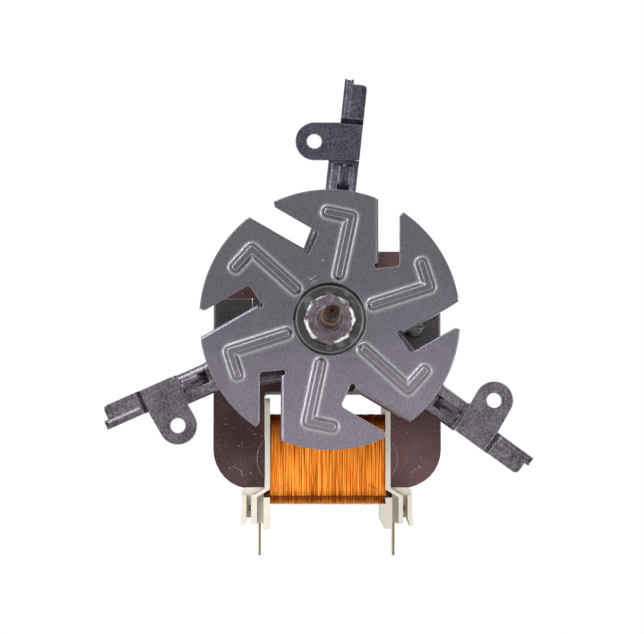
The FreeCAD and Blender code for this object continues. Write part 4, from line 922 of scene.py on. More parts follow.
@dataclass(frozen=True)
class EnamelledWire(Finish):
    """Copper wire under amber enamel: painted highlights on strands, and painted shade between them and at
    the coil's top and foot.
    """

    strands: Pattern = Pattern(0.32 * MM, 1.0, stretch=(1, 0.02, 0.02))
    strand_fade: tuple[float, float] = (0.36, 0.58)
    light_fade: tuple[float, float] = (0.56, 0.72)
    light_share: float = 0.7
    strand_gloss: float = 0.2
    clumps: Pattern = Pattern(1.9 * MM, 3.0, 0.6, (1, 0.10, 0.10), 0.54, 0.74)
    clump_share: float = 0.35
    # Painted highlight: the colour of the brightest strands.
    light: Colour = (1.0, 0.56, 0.13)
    deep: Colour = (0.50, 0.115, 0.008)
    # Painted shade: the colour between the strands.
    gap_shade: Colour = (0.24, 0.022, 0.004)
    # Painted shade: the colour of the coil's top and foot.
    shaded: Colour = (0.20, 0.028, 0.006)
    glint: Colour = (1.0, 0.55, 0.22)
    corner: float = COIL_CORNER
    buried_fade: tuple[float, float] = (0.25 * MM, 0.6 * MM)
    buried_share: float = 0.85
    top_shift: float = 6 * MM
    top_fade: tuple[float, float] = (10.5 * MM, 4.0 * MM)
    top_share: float = 0.85
    foot_rise: float = 2.4 * MM
    foot_wave: float = 1.6 * MM
    foot_fade: tuple[float, float] = (0.1 * MM, 0.5 * MM)
    foot_share: float = 0.9
    front_fade: tuple[float, float] = (3.6 * MM, 4.6 * MM)
    coat: float = 0.04
    coat_roughness: float = 0.25

    def buried(self, recipe: Recipe) -> Signal:
        """Depth below the coil's outer layer.

        Args:
            recipe: The material under construction.

        Returns:
            The depth in metres.
        """
        low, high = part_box("winding")
        middle, half = (low + high) / 2, (high - low) / 2
        inward_y = ((recipe.y - middle.y).absolute() - (half.y - self.corner)).or_more(0.0)
        inward_z = ((recipe.z - middle.z).absolute() - (half.z - self.corner)).or_more(0.0)
        return self.corner - (inward_y ** 2 + inward_z ** 2).root()

    def paint(self, recipe: Recipe) -> None:
        """Add the strands with painted highlights, and painted shade between them, at the top and at the
        foot.

        Args:
            recipe: The material under construction.
        """
        low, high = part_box("winding")
        strands = recipe.noise(self.strands)
        clumps = recipe.noise(self.clumps)
        body = recipe.blend(strands.between(*self.strand_fade), self.deep, self.colour)
        clumped = clumps.between(self.clumps.low, self.clumps.high)
        body = recipe.blend(clumped * self.clump_share, body, self.deep)
        # Painted highlights on the brightest strands.
        body = recipe.blend(strands.between(*self.light_fade) * self.light_share, body, self.light)
        # Painted shade between the strands.
        gaps = self.buried(recipe).between(*self.buried_fade)
        body = recipe.blend(gaps * self.buried_share, body, self.gap_shade)
        # Painted shade at the coil's top, where the fan casts shade, and along its foot.
        uneven = (clumps - 0.5) * self.top_shift + recipe.z
        top = uneven.between(*(high.z - depth for depth in self.top_fade))
        wavy = recipe.z + (strands - 0.5) * self.foot_wave - low.z - self.foot_rise
        front = 1 - recipe.y.between(*(low.y + depth for depth in self.front_fade))
        foot = (1 - wavy.absolute().between(*self.foot_fade)) * front
        dark = (top * self.top_share).or_more(foot * self.foot_share)
        colour = recipe.blend(dark, body, self.shaded)
        gloss = self.roughness + (strands - 0.5) * self.strand_gloss
        recipe.surface(Base_Color=colour, Roughness=gloss, Metallic=self.metallic, Coat_Weight=self.coat,
                       Coat_Roughness=self.coat_roughness, Specular_Tint=self.glint)


@dataclass(frozen=True)
class OilFelt(Finish):
    """Felt soaked with oil: a matted tangle with no gloss of its own."""

    tangle: Pattern = Pattern(0.4 * MM, 5.0, 0.75, low=0.3, high=0.7)
    tangle_shades: tuple[float, float] = (0.6, 1.3)
    bump: float = 0.9
    relief: float = 0.2 * MM
    sheen: float = 0.3

    def paint(self, recipe: Recipe) -> None:
        """Add the matted tangle.

        Args:
            recipe: The material under construction.
        """
        tangle = recipe.noise(self.tangle)
        matted = tangle.between(self.tangle.low, self.tangle.high)
        colour = recipe.blend(matted, *(self.shade(factor) for factor in self.tangle_shades))
        recipe.surface((tangle, self.bump, self.relief), self.edge, Base_Color=colour,
                       Roughness=self.roughness, Metallic=self.metallic, Sheen_Weight=self.sheen)


FINISHES: dict[Slot, Finish] = {
    Slot.FAN: StampedFan((0.118, 0.111, 0.131), 0.32, edge=0.8 * MM),
    Slot.HUB: StakedHub((0.175, 0.145, 0.170), 0.26, tarnish=(0.035, 0.030, 0.032), tarnish_share=0.75,
                        edge_gain=3.2, reflection_tint=(0.20, 0.11, 0.04), tint_radius=3.3 * MM, edge=0.3 * MM),
    Slot.SHAFT: GroundShaft((0.050, 0.046, 0.048), 0.24, ring_pitch=0.2 * MM, tarnish=(0.030, 0.022, 0.018),
                            edge_gain=2.2, edge=0.4 * MM),
    Slot.BRACKET: ZincPlate((0.122, 0.106, 0.126), 0.40, edge=0.28 * MM),
    # The strap's strong, wide edge lightening is a painted highlight along its edges.
    Slot.STRAP: RolledSteel((0.074, 0.067, 0.076), 0.42, edge_gain=6.5, edge_reach=0.9 * MM,
                            stain_share=0.5, grain_depth=2.0),
    Slot.LAMINATION: LaminatedIron((0.083, 0.047, 0.049), 0.50, 0.8),
    Slot.ROTOR: LaminatedIron((0.13, 0.11, 0.10), 0.45, 0.8),
    Slot.CAGE: TurnedMetal((0.42, 0.42, 0.43), 0.42, tarnish_share=0.15),
    Slot.RING: TurnedMetal((0.62, 0.27, 0.15), 0.32, tarnish_share=0.3),
    Slot.WINDING: EnamelledWire((0.96, 0.37, 0.042), 0.36, 0.9),
    Slot.BOBBIN: Moulding((0.625, 0.58, 0.495), 0.42, 0.0),
    Slot.TAB: RolledSteel((0.25, 0.195, 0.12), 0.30, edge_gain=1.6),
    Slot.BEARING: TurnedMetal((0.42, 0.25, 0.11), 0.42),
    Slot.FELT: OilFelt((0.20, 0.17, 0.11), 0.95, 0.0, 0.0),
    Slot.RETAINER: RolledSteel((0.30, 0.29, 0.31), 0.34),
    Slot.WASHER: Moulding((0.50, 0.30, 0.10), 0.5, 0.0),
    Slot.SCREW: TurnedMetal((0.105, 0.098, 0.105), 0.32, tarnish=(0.05, 0.045, 0.045), edge_gain=4.0),
}


class Workshop:
    """Holds the finished materials and puts pieces into the scene."""

    def __init__(self) -> None:
        """Build one material for each slot."""
        self.materials = {slot: finish.material(slot.value) for slot, finish in FINISHES.items()}

    def dress_solids(self) -> None:
        """Give every solid of the frame the finish that its record row names."""
        rows = {row["node"]: row["material_slot"] for row in frame["record"]["subparts"]}
        for name, solid in frame["nodes"].items():
            solid.data.materials.clear()
            solid.data.materials.append(self.materials[Slot(rows[name])])

    def add(self, name: str, mesh: bpy.types.Mesh, body: Body, slot: Slot,
            smooth: bool = True) -> bpy.types.Object:
        """Put a mesh into the scene as a piece of the object.

        Args:
            name: The piece's name.
            mesh: Its mesh, in the row frame.
            body: The body that it rides on.
            slot: The slot that gives its finish.
            smooth: Whether its faces are shaded as one curved surface.

        Returns:
            The piece.
        """
        mesh.materials.clear()
        mesh.materials.append(self.materials[slot])
        mesh.polygons.foreach_set("use_smooth", [smooth] * len(mesh.polygons))
        piece = bpy.data.objects.new(name, mesh)
        bpy.context.scene.collection.objects.link(piece)
        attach(piece, body.value)
        LOG.info("%s: %d faces on %s", name, len(mesh.polygons), body.value)
        return piece


class GeometryRecipe(Graph):
    """A Geometry Nodes tree with named inputs, run once to give a plain mesh."""

    def __init__(self, name: str) -> None:
        """Start an empty tree with a geometry output.

        Args:
            name: The tree's name.
        """
        super().__init__(bpy.data.node_groups.new(name, "GeometryNodeTree"))
        self.tree.interface.new_socket("Geometry", in_out="OUTPUT", socket_type="NodeSocketGeometry")
        self.entry = self.node("NodeGroupInput")
        self.values: dict[str, Any] = {}
        self.made: Any = None

    def size(self, name: str, value: float | int) -> Signal:
        """Add a named input and remember the value that the modifier gets.

        Args:
            name: What the input is called.
            value: A whole number or a length.

        Returns:
            The input, ready for arithmetic.
        """
        kind = "NodeSocketInt" if isinstance(value, int) else "NodeSocketFloat"
        item = self.tree.interface.new_socket(name, in_out="INPUT", socket_type=kind)
        self.values[item.identifier] = value
        return Signal(self, find_socket(self.entry.outputs, item.identifier))

    def vector(self, x: Any = 0.0, y: Any = 0.0, z: Any = 0.0) -> bpy.types.NodeSocket:
        """Three numbers or signals as one vector."""
        return self.node("ShaderNodeCombineXYZ", {}, {"X": x, "Y": y, "Z": z}).outputs[0]

    def random(self, low: Any, high: Any, seed: int, of_vectors: bool = False) -> bpy.types.NodeSocket:
        """A random value for each element, from a fixed seed.

        Args:
            low: Lowest value, a number or a vector.
            high: Highest value.
            seed: The fixed seed.
            of_vectors: Whether the values are vectors.

        Returns:
            The random values.
        """
        if of_vectors:
            node = self.node("FunctionNodeRandomValue", {"data_type": "FLOAT_VECTOR"},
                             {"Min": low, "Max": high, "Seed": seed})
            return node.outputs[0]
        node = self.node("FunctionNodeRandomValue", {"data_type": "FLOAT"},
                         {"Min_001": low, "Max_001": high, "Seed": seed})
        return node.outputs[1]

    def finish(self, material: bpy.types.Material) -> bpy.types.Mesh:
        """End the tree with what `made` holds, run it on an empty mesh and take the result.

        Args:
            material: The finish that it gets.

        Returns:
            A plain mesh.
        """
        whole = self.node("GeometryNodeRealizeInstances", {}, {"Geometry": self.made}).outputs[0]
        painted = self.node("GeometryNodeSetMaterial", {}, {"Geometry": whole, "Material": material})
        exit_node = self.node("NodeGroupOutput")
        self.tree.links.new(painted.outputs[0], exit_node.inputs[0])
        holder = bpy.data.objects.new("holder", bpy.data.meshes.new("holder"))
        bpy.context.scene.collection.objects.link(holder)
        modifier = holder.modifiers.new("build", "NODES")
        modifier.node_group = self.tree
        for identifier, value in self.values.items():
            modifier[identifier] = value
        graph = bpy.context.evaluated_depsgraph_get()
        mesh = bpy.data.meshes.new_from_object(holder.evaluated_get(graph))
        holder.modifiers.remove(modifier)
        bpy.data.objects.remove(holder)
        return mesh


def mesh_from(build: Builder, name: str) -> bpy.types.Mesh:
    """Make a mesh with a function, then point its faces outwards.

    Args:
        build: Adds the geometry.
        name: The mesh's name.

    Returns:
        The mesh.
    """
    shape = bmesh.new()
    build(shape)
    bmesh.ops.remove_doubles(shape, verts=shape.verts, dist=WELD)
    bmesh.ops.recalc_face_normals(shape, faces=shape.faces)
    mesh = bpy.data.meshes.new(name)
    shape.to_mesh(mesh)
    shape.free()
    return mesh


def loft(shape: bmesh.types.BMesh, rings: list[list[Vector]], closed: bool = False) -> None:
    """Skin rings of points into a closed surface.

    Args:
        shape: The mesh that grows.
        rings: Rings with equal numbers of points.
        closed: Whether the last ring joins the first, instead of both ends being capped.
    """
    rows = [[shape.verts.new(point) for point in ring] for ring in rings]
    pairs = list(zip(rows, rows[1:])) + ([(rows[-1], rows[0])] if closed else [])
    for low, high in pairs:
        for index in range(len(low)):
            after = (index + 1) % len(low)
            shape.faces.new((low[index], low[after], high[after], high[index]))
    if not closed:
        shape.faces.new(list(reversed(rows[0])))
        shape.faces.new(rows[-1])


def rounded_rectangle(half_x: float, half_y: float, radius: float, steps: int) -> Profile:
    """Points of an upright rectangle with round corners, anticlockwise.

    Args:
        half_x: Half its width.
        half_y: Half its height.
        radius: Radius of each corner.
        steps: Points in each corner.

    Returns:
        The outline's points.
    """
    points = []
    for quarter in range(4):
        middle = math.radians(90 * quarter + 45)
        centre = (math.copysign(half_x - radius, math.cos(middle)),
                  math.copysign(half_y - radius, math.sin(middle)))
        for step in range(steps):
            angle = math.radians(90 * quarter + 90 * step / (steps - 1))
            points.append((centre[0] + radius * math.cos(angle), centre[1] + radius * math.sin(angle)))
    return points


def smooth_path(points: list[Vector], steps: int) -> list[Vector]:
    """Points of a smooth curve through some points.

    Args:
        points: The points that it passes.
        steps: Points for each stretch.

    Returns:
        The curve's points.
    """
    path = []
    ends = [points[0], *points, points[-1]]
    for before, start, end, after in zip(ends, ends[1:], ends[2:], ends[3:]):
        for step in range(steps):
            share = step / steps
            path.append(0.5 * (2 * start + (end - before) * share
                               + (2 * before - 5 * start + 4 * end - after) * share ** 2
                               + (3 * start - before - 3 * end + after) * share ** 3))
    return [*path, points[-1]]


def wire_along(points: list[Vector], radius: float, sides: int) -> Builder:
    """Builder of a round wire through points.

    Args:
        points: The wire's centre line.
        radius: Its radius.
        sides: Points round it.

    Returns:
        A function that adds the wire to a mesh.
    """
    def build(shape: bmesh.types.BMesh) -> None:
        """Carry a ring of points along the line.

        Args:
            shape: The mesh that grows.
        """
        rings = []
        aside = Vector((0, 0, 1))
        for index, point in enumerate(points):
            ahead = points[min(index + 1, len(points) - 1)] - points[max(index - 1, 0)]
            ahead.normalize()
            aside = (aside - ahead * aside.dot(ahead)).normalized()
            across = ahead.cross(aside)
            rings.append([point + aside * (radius * math.cos(math.tau * step / sides))
                          + across * (radius * math.sin(math.tau * step / sides)) for step in range(sides)])
        loft(shape, rings)
    return build


@dataclass
class Winding:
    """The coil: a packed core of wire under loose outer turns, between the bobbin's flanges."""

    wire_radius: float = 0.15 * MM
    wire_sides: int = 4
    pitch_in_radii: float = 2.05
    corner: float = COIL_CORNER
    pack_depth: float = 0.55 * MM
    pack_gap: float = 0.05 * MM
    pack_corner_points: int = 7
    tube_wall: float = 1.6 * MM
    tube_corner: float = 0.3 * MM
    loop_points: int = 56
    loop_corner_points: int = 8
    sag: float = 0.22 * MM
    sideways_tilt: float = 0.3
    under_tilt: float = 0.35
    under_seed: int = 11
    loose_percent: int = 40
    loose_rise: float = 0.5 * MM
    loose_tilt: float = 1.3
    loose_seed: int = 23
    wander_scale: float = 160.0
    wander_detail: float = 2.0
    wander: tuple[float, float, float] = (0.5 * MM, 0.12 * MM, 0.12 * MM)
    low: Vector = field(default_factory=lambda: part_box("winding")[0])
    high: Vector = field(default_factory=lambda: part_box("winding")[1])

    def build(self, workshop: Workshop) -> None:
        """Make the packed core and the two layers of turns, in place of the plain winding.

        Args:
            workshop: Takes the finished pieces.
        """
        mesh = mesh_from(self._pack, "winding_pack")
        pack = workshop.add("winding_pack", mesh, Body.MOTOR, Slot.WINDING, False)
        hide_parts("winding")
        turns = int((self.high.x - self.low.x) / (self.pitch_in_radii * self.wire_radius))
        loose_turns = turns * self.loose_percent // 100
        under = self._turns("under_turns", turns, 0.0, self.under_tilt, self.under_seed)
        loose = self._turns("loose_turns", loose_turns, self.loose_rise, self.loose_tilt, self.loose_seed)
        for name, recipe in (("winding_turns", under), ("winding_loose_turns", loose)):
            workshop.add(name, recipe.finish(workshop.materials[Slot.WINDING]), Body.MOTOR, Slot.WINDING)

    @property
    def middle(self) -> Vector:
        """Centre of the coil."""
        return (self.low + self.high) / 2

    def _half(self, inset: float) -> tuple[float, float]:
        """Half the coil's depth and height, drawn in by an inset."""
        return (self.high.y - self.low.y) / 2 - inset, (self.high.z - self.low.z) / 2 - inset

    def _pack(self, shape: bmesh.types.BMesh) -> None:
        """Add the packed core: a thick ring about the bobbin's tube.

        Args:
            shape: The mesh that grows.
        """
        bar_low, bar_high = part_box("core_bar")
        tube = (bar_high - bar_low) / 2 + Vector((0, self.tube_wall, self.tube_wall))
        inner = rounded_rectangle(tube.y, tube.z, self.tube_corner, self.pack_corner_points)
        outer = rounded_rectangle(*self._half(self.pack_depth), self.corner, self.pack_corner_points)
        near, far = self.low.x + self.pack_gap, self.high.x - self.pack_gap
        rings = [[Vector((x, self.middle.y + y, self.middle.z + z)) for y, z in outline]
                 for x, outline in ((near, inner), (near, outer), (far, outer), (far, inner))]
        loft(shape, rings, closed=True)

    def _turns(self, name: str, count: int, proud: float, tilt: float, seed: int) -> GeometryRecipe:
        """Build a tree that winds loops of wire side by side.

        Args:
            name: The tree's name.
            count: Number of turns.
            proud: How far the outermost turns stand out of the layer.
            tilt: Largest slant of a turn in degrees.
            seed: Seed of its irregularities.

        Returns:
            The recipe, with its result in `made`.
        """
        recipe = GeometryRecipe(name)
        half_y, half_z = self._half(self.wire_radius)
        depth = recipe.size("Depth", 2 * half_y - 2 * proud)
        height = recipe.size("Height", 2 * half_z - 2 * proud)
        turns = recipe.size("Turns", count)
        span = recipe.size("Span", self.high.x - self.low.x - 2 * self.wire_radius)
        wire = recipe.size("Wire Radius", self.wire_radius)
        flat = recipe.node("GeometryNodeCurvePrimitiveQuadrilateral", {}, {"Width": depth, "Height": height})
        rounded = recipe.node("GeometryNodeFilletCurve", {"mode": "POLY"}, {
            "Curve": flat.outputs[0], "Radius": self.corner, "Count": self.loop_corner_points})
        loop = recipe.node("GeometryNodeResampleCurve", {"mode": "COUNT"},
                           {"Curve": rounded.outputs[0], "Count": self.loop_points})
        upright = recipe.node("GeometryNodeTransform", {}, {
            "Geometry": loop.outputs[0], "Rotation": (math.radians(90), 0, math.radians(90))})
        row = recipe.node("GeometryNodeMeshLine", {"mode": "OFFSET"}, {
            "Count": turns, "Start Location": recipe.vector(span * -0.5, 0.0, 0.0),
            "Offset": recipe.vector(span / (turns - 1), 0.0, 0.0)})
        slant = math.radians(tilt)
        turned = recipe.random((0, -slant * self.sideways_tilt, -slant),
                               (0, slant * self.sideways_tilt, slant), seed, True)
        swelling = recipe.random(1 - self.sag / half_z, 1 + proud / half_z, seed + 1)
        loops = recipe.node("GeometryNodeInstanceOnPoints", {}, {
            "Points": row.outputs[0], "Instance": upright.outputs[0], "Rotation": turned,
            "Scale": recipe.vector(1.0, swelling, swelling)})
        strands = recipe.node("GeometryNodeRealizeInstances", {}, {"Geometry": loops.outputs[0]})
        wander = recipe.node("ShaderNodeTexNoise", {},
                             {"Scale": self.wander_scale, "Detail": self.wander_detail})
        offset = recipe.node("ShaderNodeVectorMath", {"operation": "MULTIPLY_ADD"}, {
            "Vector": wander.outputs["Color"], "Vector_001": self.wander,
            "Vector_002": tuple(-reach / 2 for reach in self.wander)})
        wound = recipe.node("GeometryNodeSetPosition", {},
                            {"Geometry": strands.outputs[0], "Offset": offset.outputs[0]})
        section = recipe.node("GeometryNodeCurvePrimitiveCircle", {"mode": "RADIUS"},
                              {"Resolution": self.wire_sides, "Radius": wire})
        tubes = recipe.node("GeometryNodeCurveToMesh", {},
                            {"Curve": wound.outputs[0], "Profile Curve": section.outputs[0]})
        placed = recipe.node("GeometryNodeTransform", {},
                             {"Geometry": tubes.outputs[0], "Translation": self.middle})
        recipe.made = placed.outputs[0]
        return recipe


@dataclass
class Stack:
    """What the eye sees on the laminated core: sheet edges, interlocks and the bar's seams."""

    edge_proud: float = 0.05 * MM
    edge_share: float = 0.62
    edge_shift: float = 0.02 * MM
    edge_seed: int = 5
    top_corner: float = 9 * MM
    foot_corner: float = 13.3 * MM
    corner_steps: int = 8
    interlock_from_side: float = 8.6 * MM
    interlock_above_foot: float = 6.4 * MM
    interlock_length: float = 3.6 * MM
    interlock_width: float = 1.1 * MM
    interlock_short_end: float = 0.4
    interlock_slope: float = 27.0
    interlock_lip: float = 0.12 * MM
    seam_radius: float = 0.09 * MM
    seam_steps: int = 16
    line_sides: int = 6
    flange_outside: float = 22.6 * MM
    low: Vector = field(default_factory=lambda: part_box("stator_core")[0])
    high: Vector = field(default_factory=lambda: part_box("stator_core")[1])

    def build(self, workshop: Workshop) -> None:
        """Make the sheet edges, the interlocks and the seams.

        Args:
            workshop: Takes the finished pieces.
        """
        edges = self._sheet_edges(workshop.materials[Slot.LAMINATION])
        workshop.add("lamination_edges", edges, Body.MOTOR, Slot.LAMINATION, False)
        for name, side in SIDES.items():
            interlock = mesh_from(self._interlock(side), "interlock")
            workshop.add(f"interlock_{name}", interlock, Body.MOTOR, Slot.RETAINER, False)
            seam = mesh_from(wire_along(self._seam(side), self.seam_radius, self.line_sides), "seam")
            workshop.add(f"bar_seam_{name}", seam, Body.MOTOR, Slot.RETAINER)

    @property
    def middle_z(self) -> float:
        """Height of the core's middle."""
        return (self.low.z + self.high.z) / 2

    def _outline(self) -> Profile:
        """Outer contour of the core between the two feet of its legs.

        Returns:
            Points in X and Z, from the left foot over the top to the right foot.
        """
        corners = ((self.low.x, self.low.z, self.foot_corner), (self.low.x, self.high.z, self.top_corner),
                   (self.high.x, self.high.z, self.top_corner), (self.high.x, self.low.z, self.foot_corner))
        points = []
        for index, (x, z, radius) in enumerate(corners):
            centre = (x - math.copysign(radius, x), z - math.copysign(radius, z - self.middle_z))
            for step in range(self.corner_steps + 1):
                angle = math.radians(270 - 90 * index - 90 * step / self.corner_steps)
                points.append((centre[0] + radius * math.cos(angle), centre[1] + radius * math.sin(angle)))
        return points

    def _sheet_edges(self, material: bpy.types.Material) -> bpy.types.Mesh:
        """Repeat one sheet's edge through the stack.

        Args:
            material: The finish of the edges.

        Returns:
            A plain mesh of all edges.
        """
        recipe = GeometryRecipe("sheet_edges")
        sheets = recipe.size("Sheets", round((self.high.y - self.low.y) / SHEET))
        pitch = recipe.size("Sheet Thickness", SHEET)
        outline = bpy.data.curves.new("outline", "CURVE")
        outline.dimensions = "3D"
        spline = outline.splines.new("POLY")
        points = self._outline()
        spline.points.add(len(points) - 1)
        for point, (x, z) in zip(spline.points, points):
            point.co = (x, 0, z, 1)
        holder = bpy.data.objects.new("outline", outline)
        path = recipe.node("GeometryNodeObjectInfo", {}, {"Object": holder}).outputs["Geometry"]
        section = recipe.node("GeometryNodeCurvePrimitiveQuadrilateral", {},
                              {"Width": 2 * self.edge_proud, "Height": pitch * self.edge_share})
        rib = recipe.node("GeometryNodeCurveToMesh", {},
                          {"Curve": path, "Profile Curve": section.outputs[0], "Fill Caps": True})
        row = recipe.node("GeometryNodeMeshLine", {"mode": "OFFSET"}, {
            "Count": sheets, "Start Location": recipe.vector(0.0, pitch * 0.5 + self.low.y, 0.0),
            "Offset": recipe.vector(0.0, pitch, 0.0)})
        jitter = recipe.random(-self.edge_shift, self.edge_shift, self.edge_seed)
        shifted = recipe.node("GeometryNodeSetPosition", {},
                              {"Geometry": row.outputs[0], "Offset": recipe.vector(jitter, 0.0, jitter)})
        ribs = recipe.node("GeometryNodeInstanceOnPoints", {},
                           {"Points": shifted.outputs[0], "Instance": rib.outputs[0]})
        recipe.made = ribs.outputs[0]
        mesh = recipe.finish(material)
        bpy.data.objects.remove(holder)
        return mesh

    def _interlock(self, side: int) -> Builder:
        """Builder of the raised lip round one pressed interlock, on the front sheet.

        Args:
            side: Minus one on the left, one on the right.

        Returns:
            A function that adds the lip to a mesh.
        """
        centre = Vector((side * (self.high.x - self.interlock_from_side), self.low.y,
                         self.low.z + self.interlock_above_foot))
        turn = Matrix.Rotation(math.radians(-self.interlock_slope * side), 3, "Y")
        end, width = self.interlock_length / 2, self.interlock_width
        strokes = (((-end, 0), (end, 0)), ((-end, 0), (-end, -width)),
                   ((end, 0), (end, -width * self.interlock_short_end)))

        def build(shape: bmesh.types.BMesh) -> None:
            """Add a lip along one long side and its two short ends.

            Args:
                shape: The mesh that grows.
            """
            for stroke in strokes:
                line = [centre + turn @ Vector((side * x, 0, z)) for x, z in stroke]
                wire_along(line, self.interlock_lip, self.line_sides)(shape)
        return build

    def _seam(self, side: int) -> list[Vector]:
        """Arc of the bar's round end where it shows beside the flange.

        Args:
            side: Minus one on the left, one on the right.

        Returns:
            Points along the arc.
        """
        low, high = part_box("core_bar")
        radius = (high.z - low.z) / 2
        centre = Vector((side * (high.x - radius), low.y, (low.z + high.z) / 2))
        start = math.acos((self.flange_outside - centre.x * side) / radius)
        angles = [start - 2 * start * step / self.seam_steps for step in range(self.seam_steps + 1)]
        return [centre + radius * Vector((side * math.cos(angle), 0, math.sin(angle))) for angle in angles]


@dataclass
class RibBlend:
    """The rounded foot of each arm's rib, which joins it to its valley and to the ear's bend.

    A section has its place along the arm and the depths of its points behind the plane of the ears,
    from the valley's side to the rib's crest. All of them are in millimetres.
    """

    arms: int = 3
    first_arm: float = 84.0
    underside: float = 4.62
    widths: tuple[float, ...] = (2.2, 1.75, 1.3, 0.95)
    sections: tuple[tuple[float, tuple[float, ...]], ...] = (
        (46.4, (4.58, 4.58, 4.58, 4.58)),
        (47.6, (3.8, 4.0, 4.0, 3.95)),
        (48.6, (3.12, 3.4, 3.2, 2.85)),
        (49.7, (3.03, 3.25, 2.7, 1.97)),
        (55.2, (3.03, 3.25, 2.7, 1.97)),
        (56.0, (3.03, 3.0, 2.4, 1.3)))

    def build(self, workshop: Workshop) -> None:
        """Make one blend on each arm.

        Args:
            workshop: Takes the finished pieces.
        """
        for arm in range(self.arms):
            rings = self._rings(math.radians(self.first_arm + arm * 360 / self.arms))
            mesh = mesh_from(lambda shape: loft(shape, rings), "rib_blend")
            workshop.add(f"rib_blend_{arm + 1}", mesh, Body.MOTOR, Slot.BRACKET)

    def _rings(self, angle: float) -> list[list[Vector]]:
        """Sections across an arm, from its valley's floor to the ear.

        Args:
            angle: The arm's direction about the shaft.

        Returns:
            One ring of points for each section.
        """
        outward = Vector((math.cos(angle), 0.0, math.sin(angle)))
        aside = Vector((math.sin(angle), 0.0, -math.cos(angle)))
        behind = Vector((0.0, 1.0, 0.0))
        rings = []
        for along, depths in self.sections:
            half = list(zip(self.widths, depths))
            section = [(-width, depth) for width, depth in half] + half[::-1]
            section += [(self.widths[0], self.underside), (-self.widths[0], self.underside)]
            rings.append([(outward * along + aside * width + behind * depth) * MM
                          for width, depth in section])
        return rings


@dataclass
class ClampThread:
    """Thread on the tail of a clamp screw, behind its nut."""

    pitch: float = 0.7 * MM
    depth: float = 0.16 * MM
    shank_radius: float = 2.0 * MM
    bare_end: float = 0.3 * MM
    turn_points: int = 24
    ridge_sides: int = 4

    def build(self, workshop: Workshop, side: str) -> None:
        """Wind a thread on the tail of the screw on one side.

        Args:
            workshop: Takes the finished piece.
            side: The side's name.
        """
        low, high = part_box(f"clamp_screw_{side}")
        nut_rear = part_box(f"clamp_nut_{side}")[1].y
        recipe = GeometryRecipe(f"thread_{side}")
        radius = recipe.size("Radius", self.shank_radius)
        length = recipe.size("Length", high.y - nut_rear - self.bare_end)
        pitch = recipe.size("Pitch", self.pitch)
        helix = recipe.node("GeometryNodeCurveSpiral", {}, {
            "Resolution": self.turn_points, "Rotations": length / pitch, "Start Radius": radius,
            "End Radius": radius, "Height": length})
        section = recipe.node("GeometryNodeCurvePrimitiveCircle", {"mode": "RADIUS"},
                              {"Resolution": self.ridge_sides, "Radius": self.depth})
        ridge = recipe.node("GeometryNodeCurveToMesh", {}, {
            "Curve": helix.outputs[0], "Profile Curve": section.outputs[0], "Fill Caps": True})
        placed = recipe.node("GeometryNodeTransform", {}, {
            "Geometry": ridge.outputs[0], "Rotation": (math.radians(-90), 0, 0),
            "Translation": ((low.x + high.x) / 2, nut_rear, (low.z + high.z) / 2)})
        recipe.made = placed.outputs[0]
        mesh = recipe.finish(workshop.materials[Slot.SCREW])
        workshop.add(f"clamp_thread_{side}", mesh, Body.MOTOR, Slot.SCREW)


@dataclass
class LeadWire:
    """Ends of the coil's wire: across the coil, through the housing's mouth and round the terminal's leg."""

    radius: float = 0.15 * MM
    wire_sides: int = 6
    strands: int = 3
    spread: float = 0.55 * MM
    crossing: float = 6.0 * MM
    sink: float = 0.1 * MM
    start_rise: float = 3.2 * MM
    edge_rise: float = 1.0 * MM
    mouth_x: float = 21.5 * MM
    mouth_y: float = 19.9 * MM
    mouth_z: float = -59.3 * MM
    approach_x: float = 2.2 * MM
    approach_y: float = 0.8 * MM
    approach_rise: float = 0.3 * MM
    curve_points: int = 8
    leg_top: float = -61.0 * MM
    leg_inset: float = 0.25 * MM
    wraps: int = 16
    wrap_points: int = 12
    wrap_pitch: float = 0.3 * MM
    wrap_half_x: float = 0.62 * MM
    wrap_half_y: float = 0.7 * MM

    def build(self, workshop: Workshop, side: str, sign: int) -> None:
        """Lay the strands on one side.

        Args:
            workshop: Takes the finished piece.
            side: The side's name.
            sign: Minus one on the left, one on the right.
        """
        def lay(shape: bmesh.types.BMesh) -> None:
            """Add each strand in turn."""
            for strand in range(self.strands):
                wire_along(self._route(side, sign, strand), self.radius, self.wire_sides)(shape)
        workshop.add(f"lead_wire_{side}", mesh_from(lay, "lead_wire"), Body.MOTOR, Slot.WINDING)

    def _route(self, side: str, sign: int, strand: int) -> list[Vector]:
        """Centre line of one strand.

        Args:
            side: The side's name.
            sign: Minus one on the left, one on the right.
            strand: Number of the strand, of which the first goes round the leg.

        Returns:
            Points from the coil to the terminal.
        """
        coil_low, coil_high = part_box("winding")
        leg_low, leg_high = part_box(f"terminal_{side}")
        leg_x = (leg_high.x if sign > 0 else leg_low.x) - sign * self.leg_inset
        leg_y = (leg_low.y + leg_high.y) / 2
        shift = (strand - 1) * self.spread
        route = [(sign * (coil_high.x - self.crossing + shift), coil_low.y + self.sink,
                  self.mouth_z + self.start_rise),
                 (sign * (coil_high.x - self.crossing / 3), coil_low.y,
                  self.mouth_z + self.edge_rise + shift),
                 (sign * self.mouth_x, self.mouth_y + shift, self.mouth_z + shift),
                 (leg_x - sign * self.approach_x, leg_y - self.approach_y + shift,
                  self.leg_top + self.approach_rise)]
        path = smooth_path([Vector(place) for place in route], self.curve_points)
        if strand == 0:
            for step in range(self.wrap_points * self.wraps + 1):
                turn = step / self.wrap_points
                path.append(Vector((leg_x + self.wrap_half_x * math.cos(math.tau * turn),
                                    leg_y + self.wrap_half_y * math.sin(math.tau * turn),
                                    self.leg_top - self.wrap_pitch * turn)))
        return path


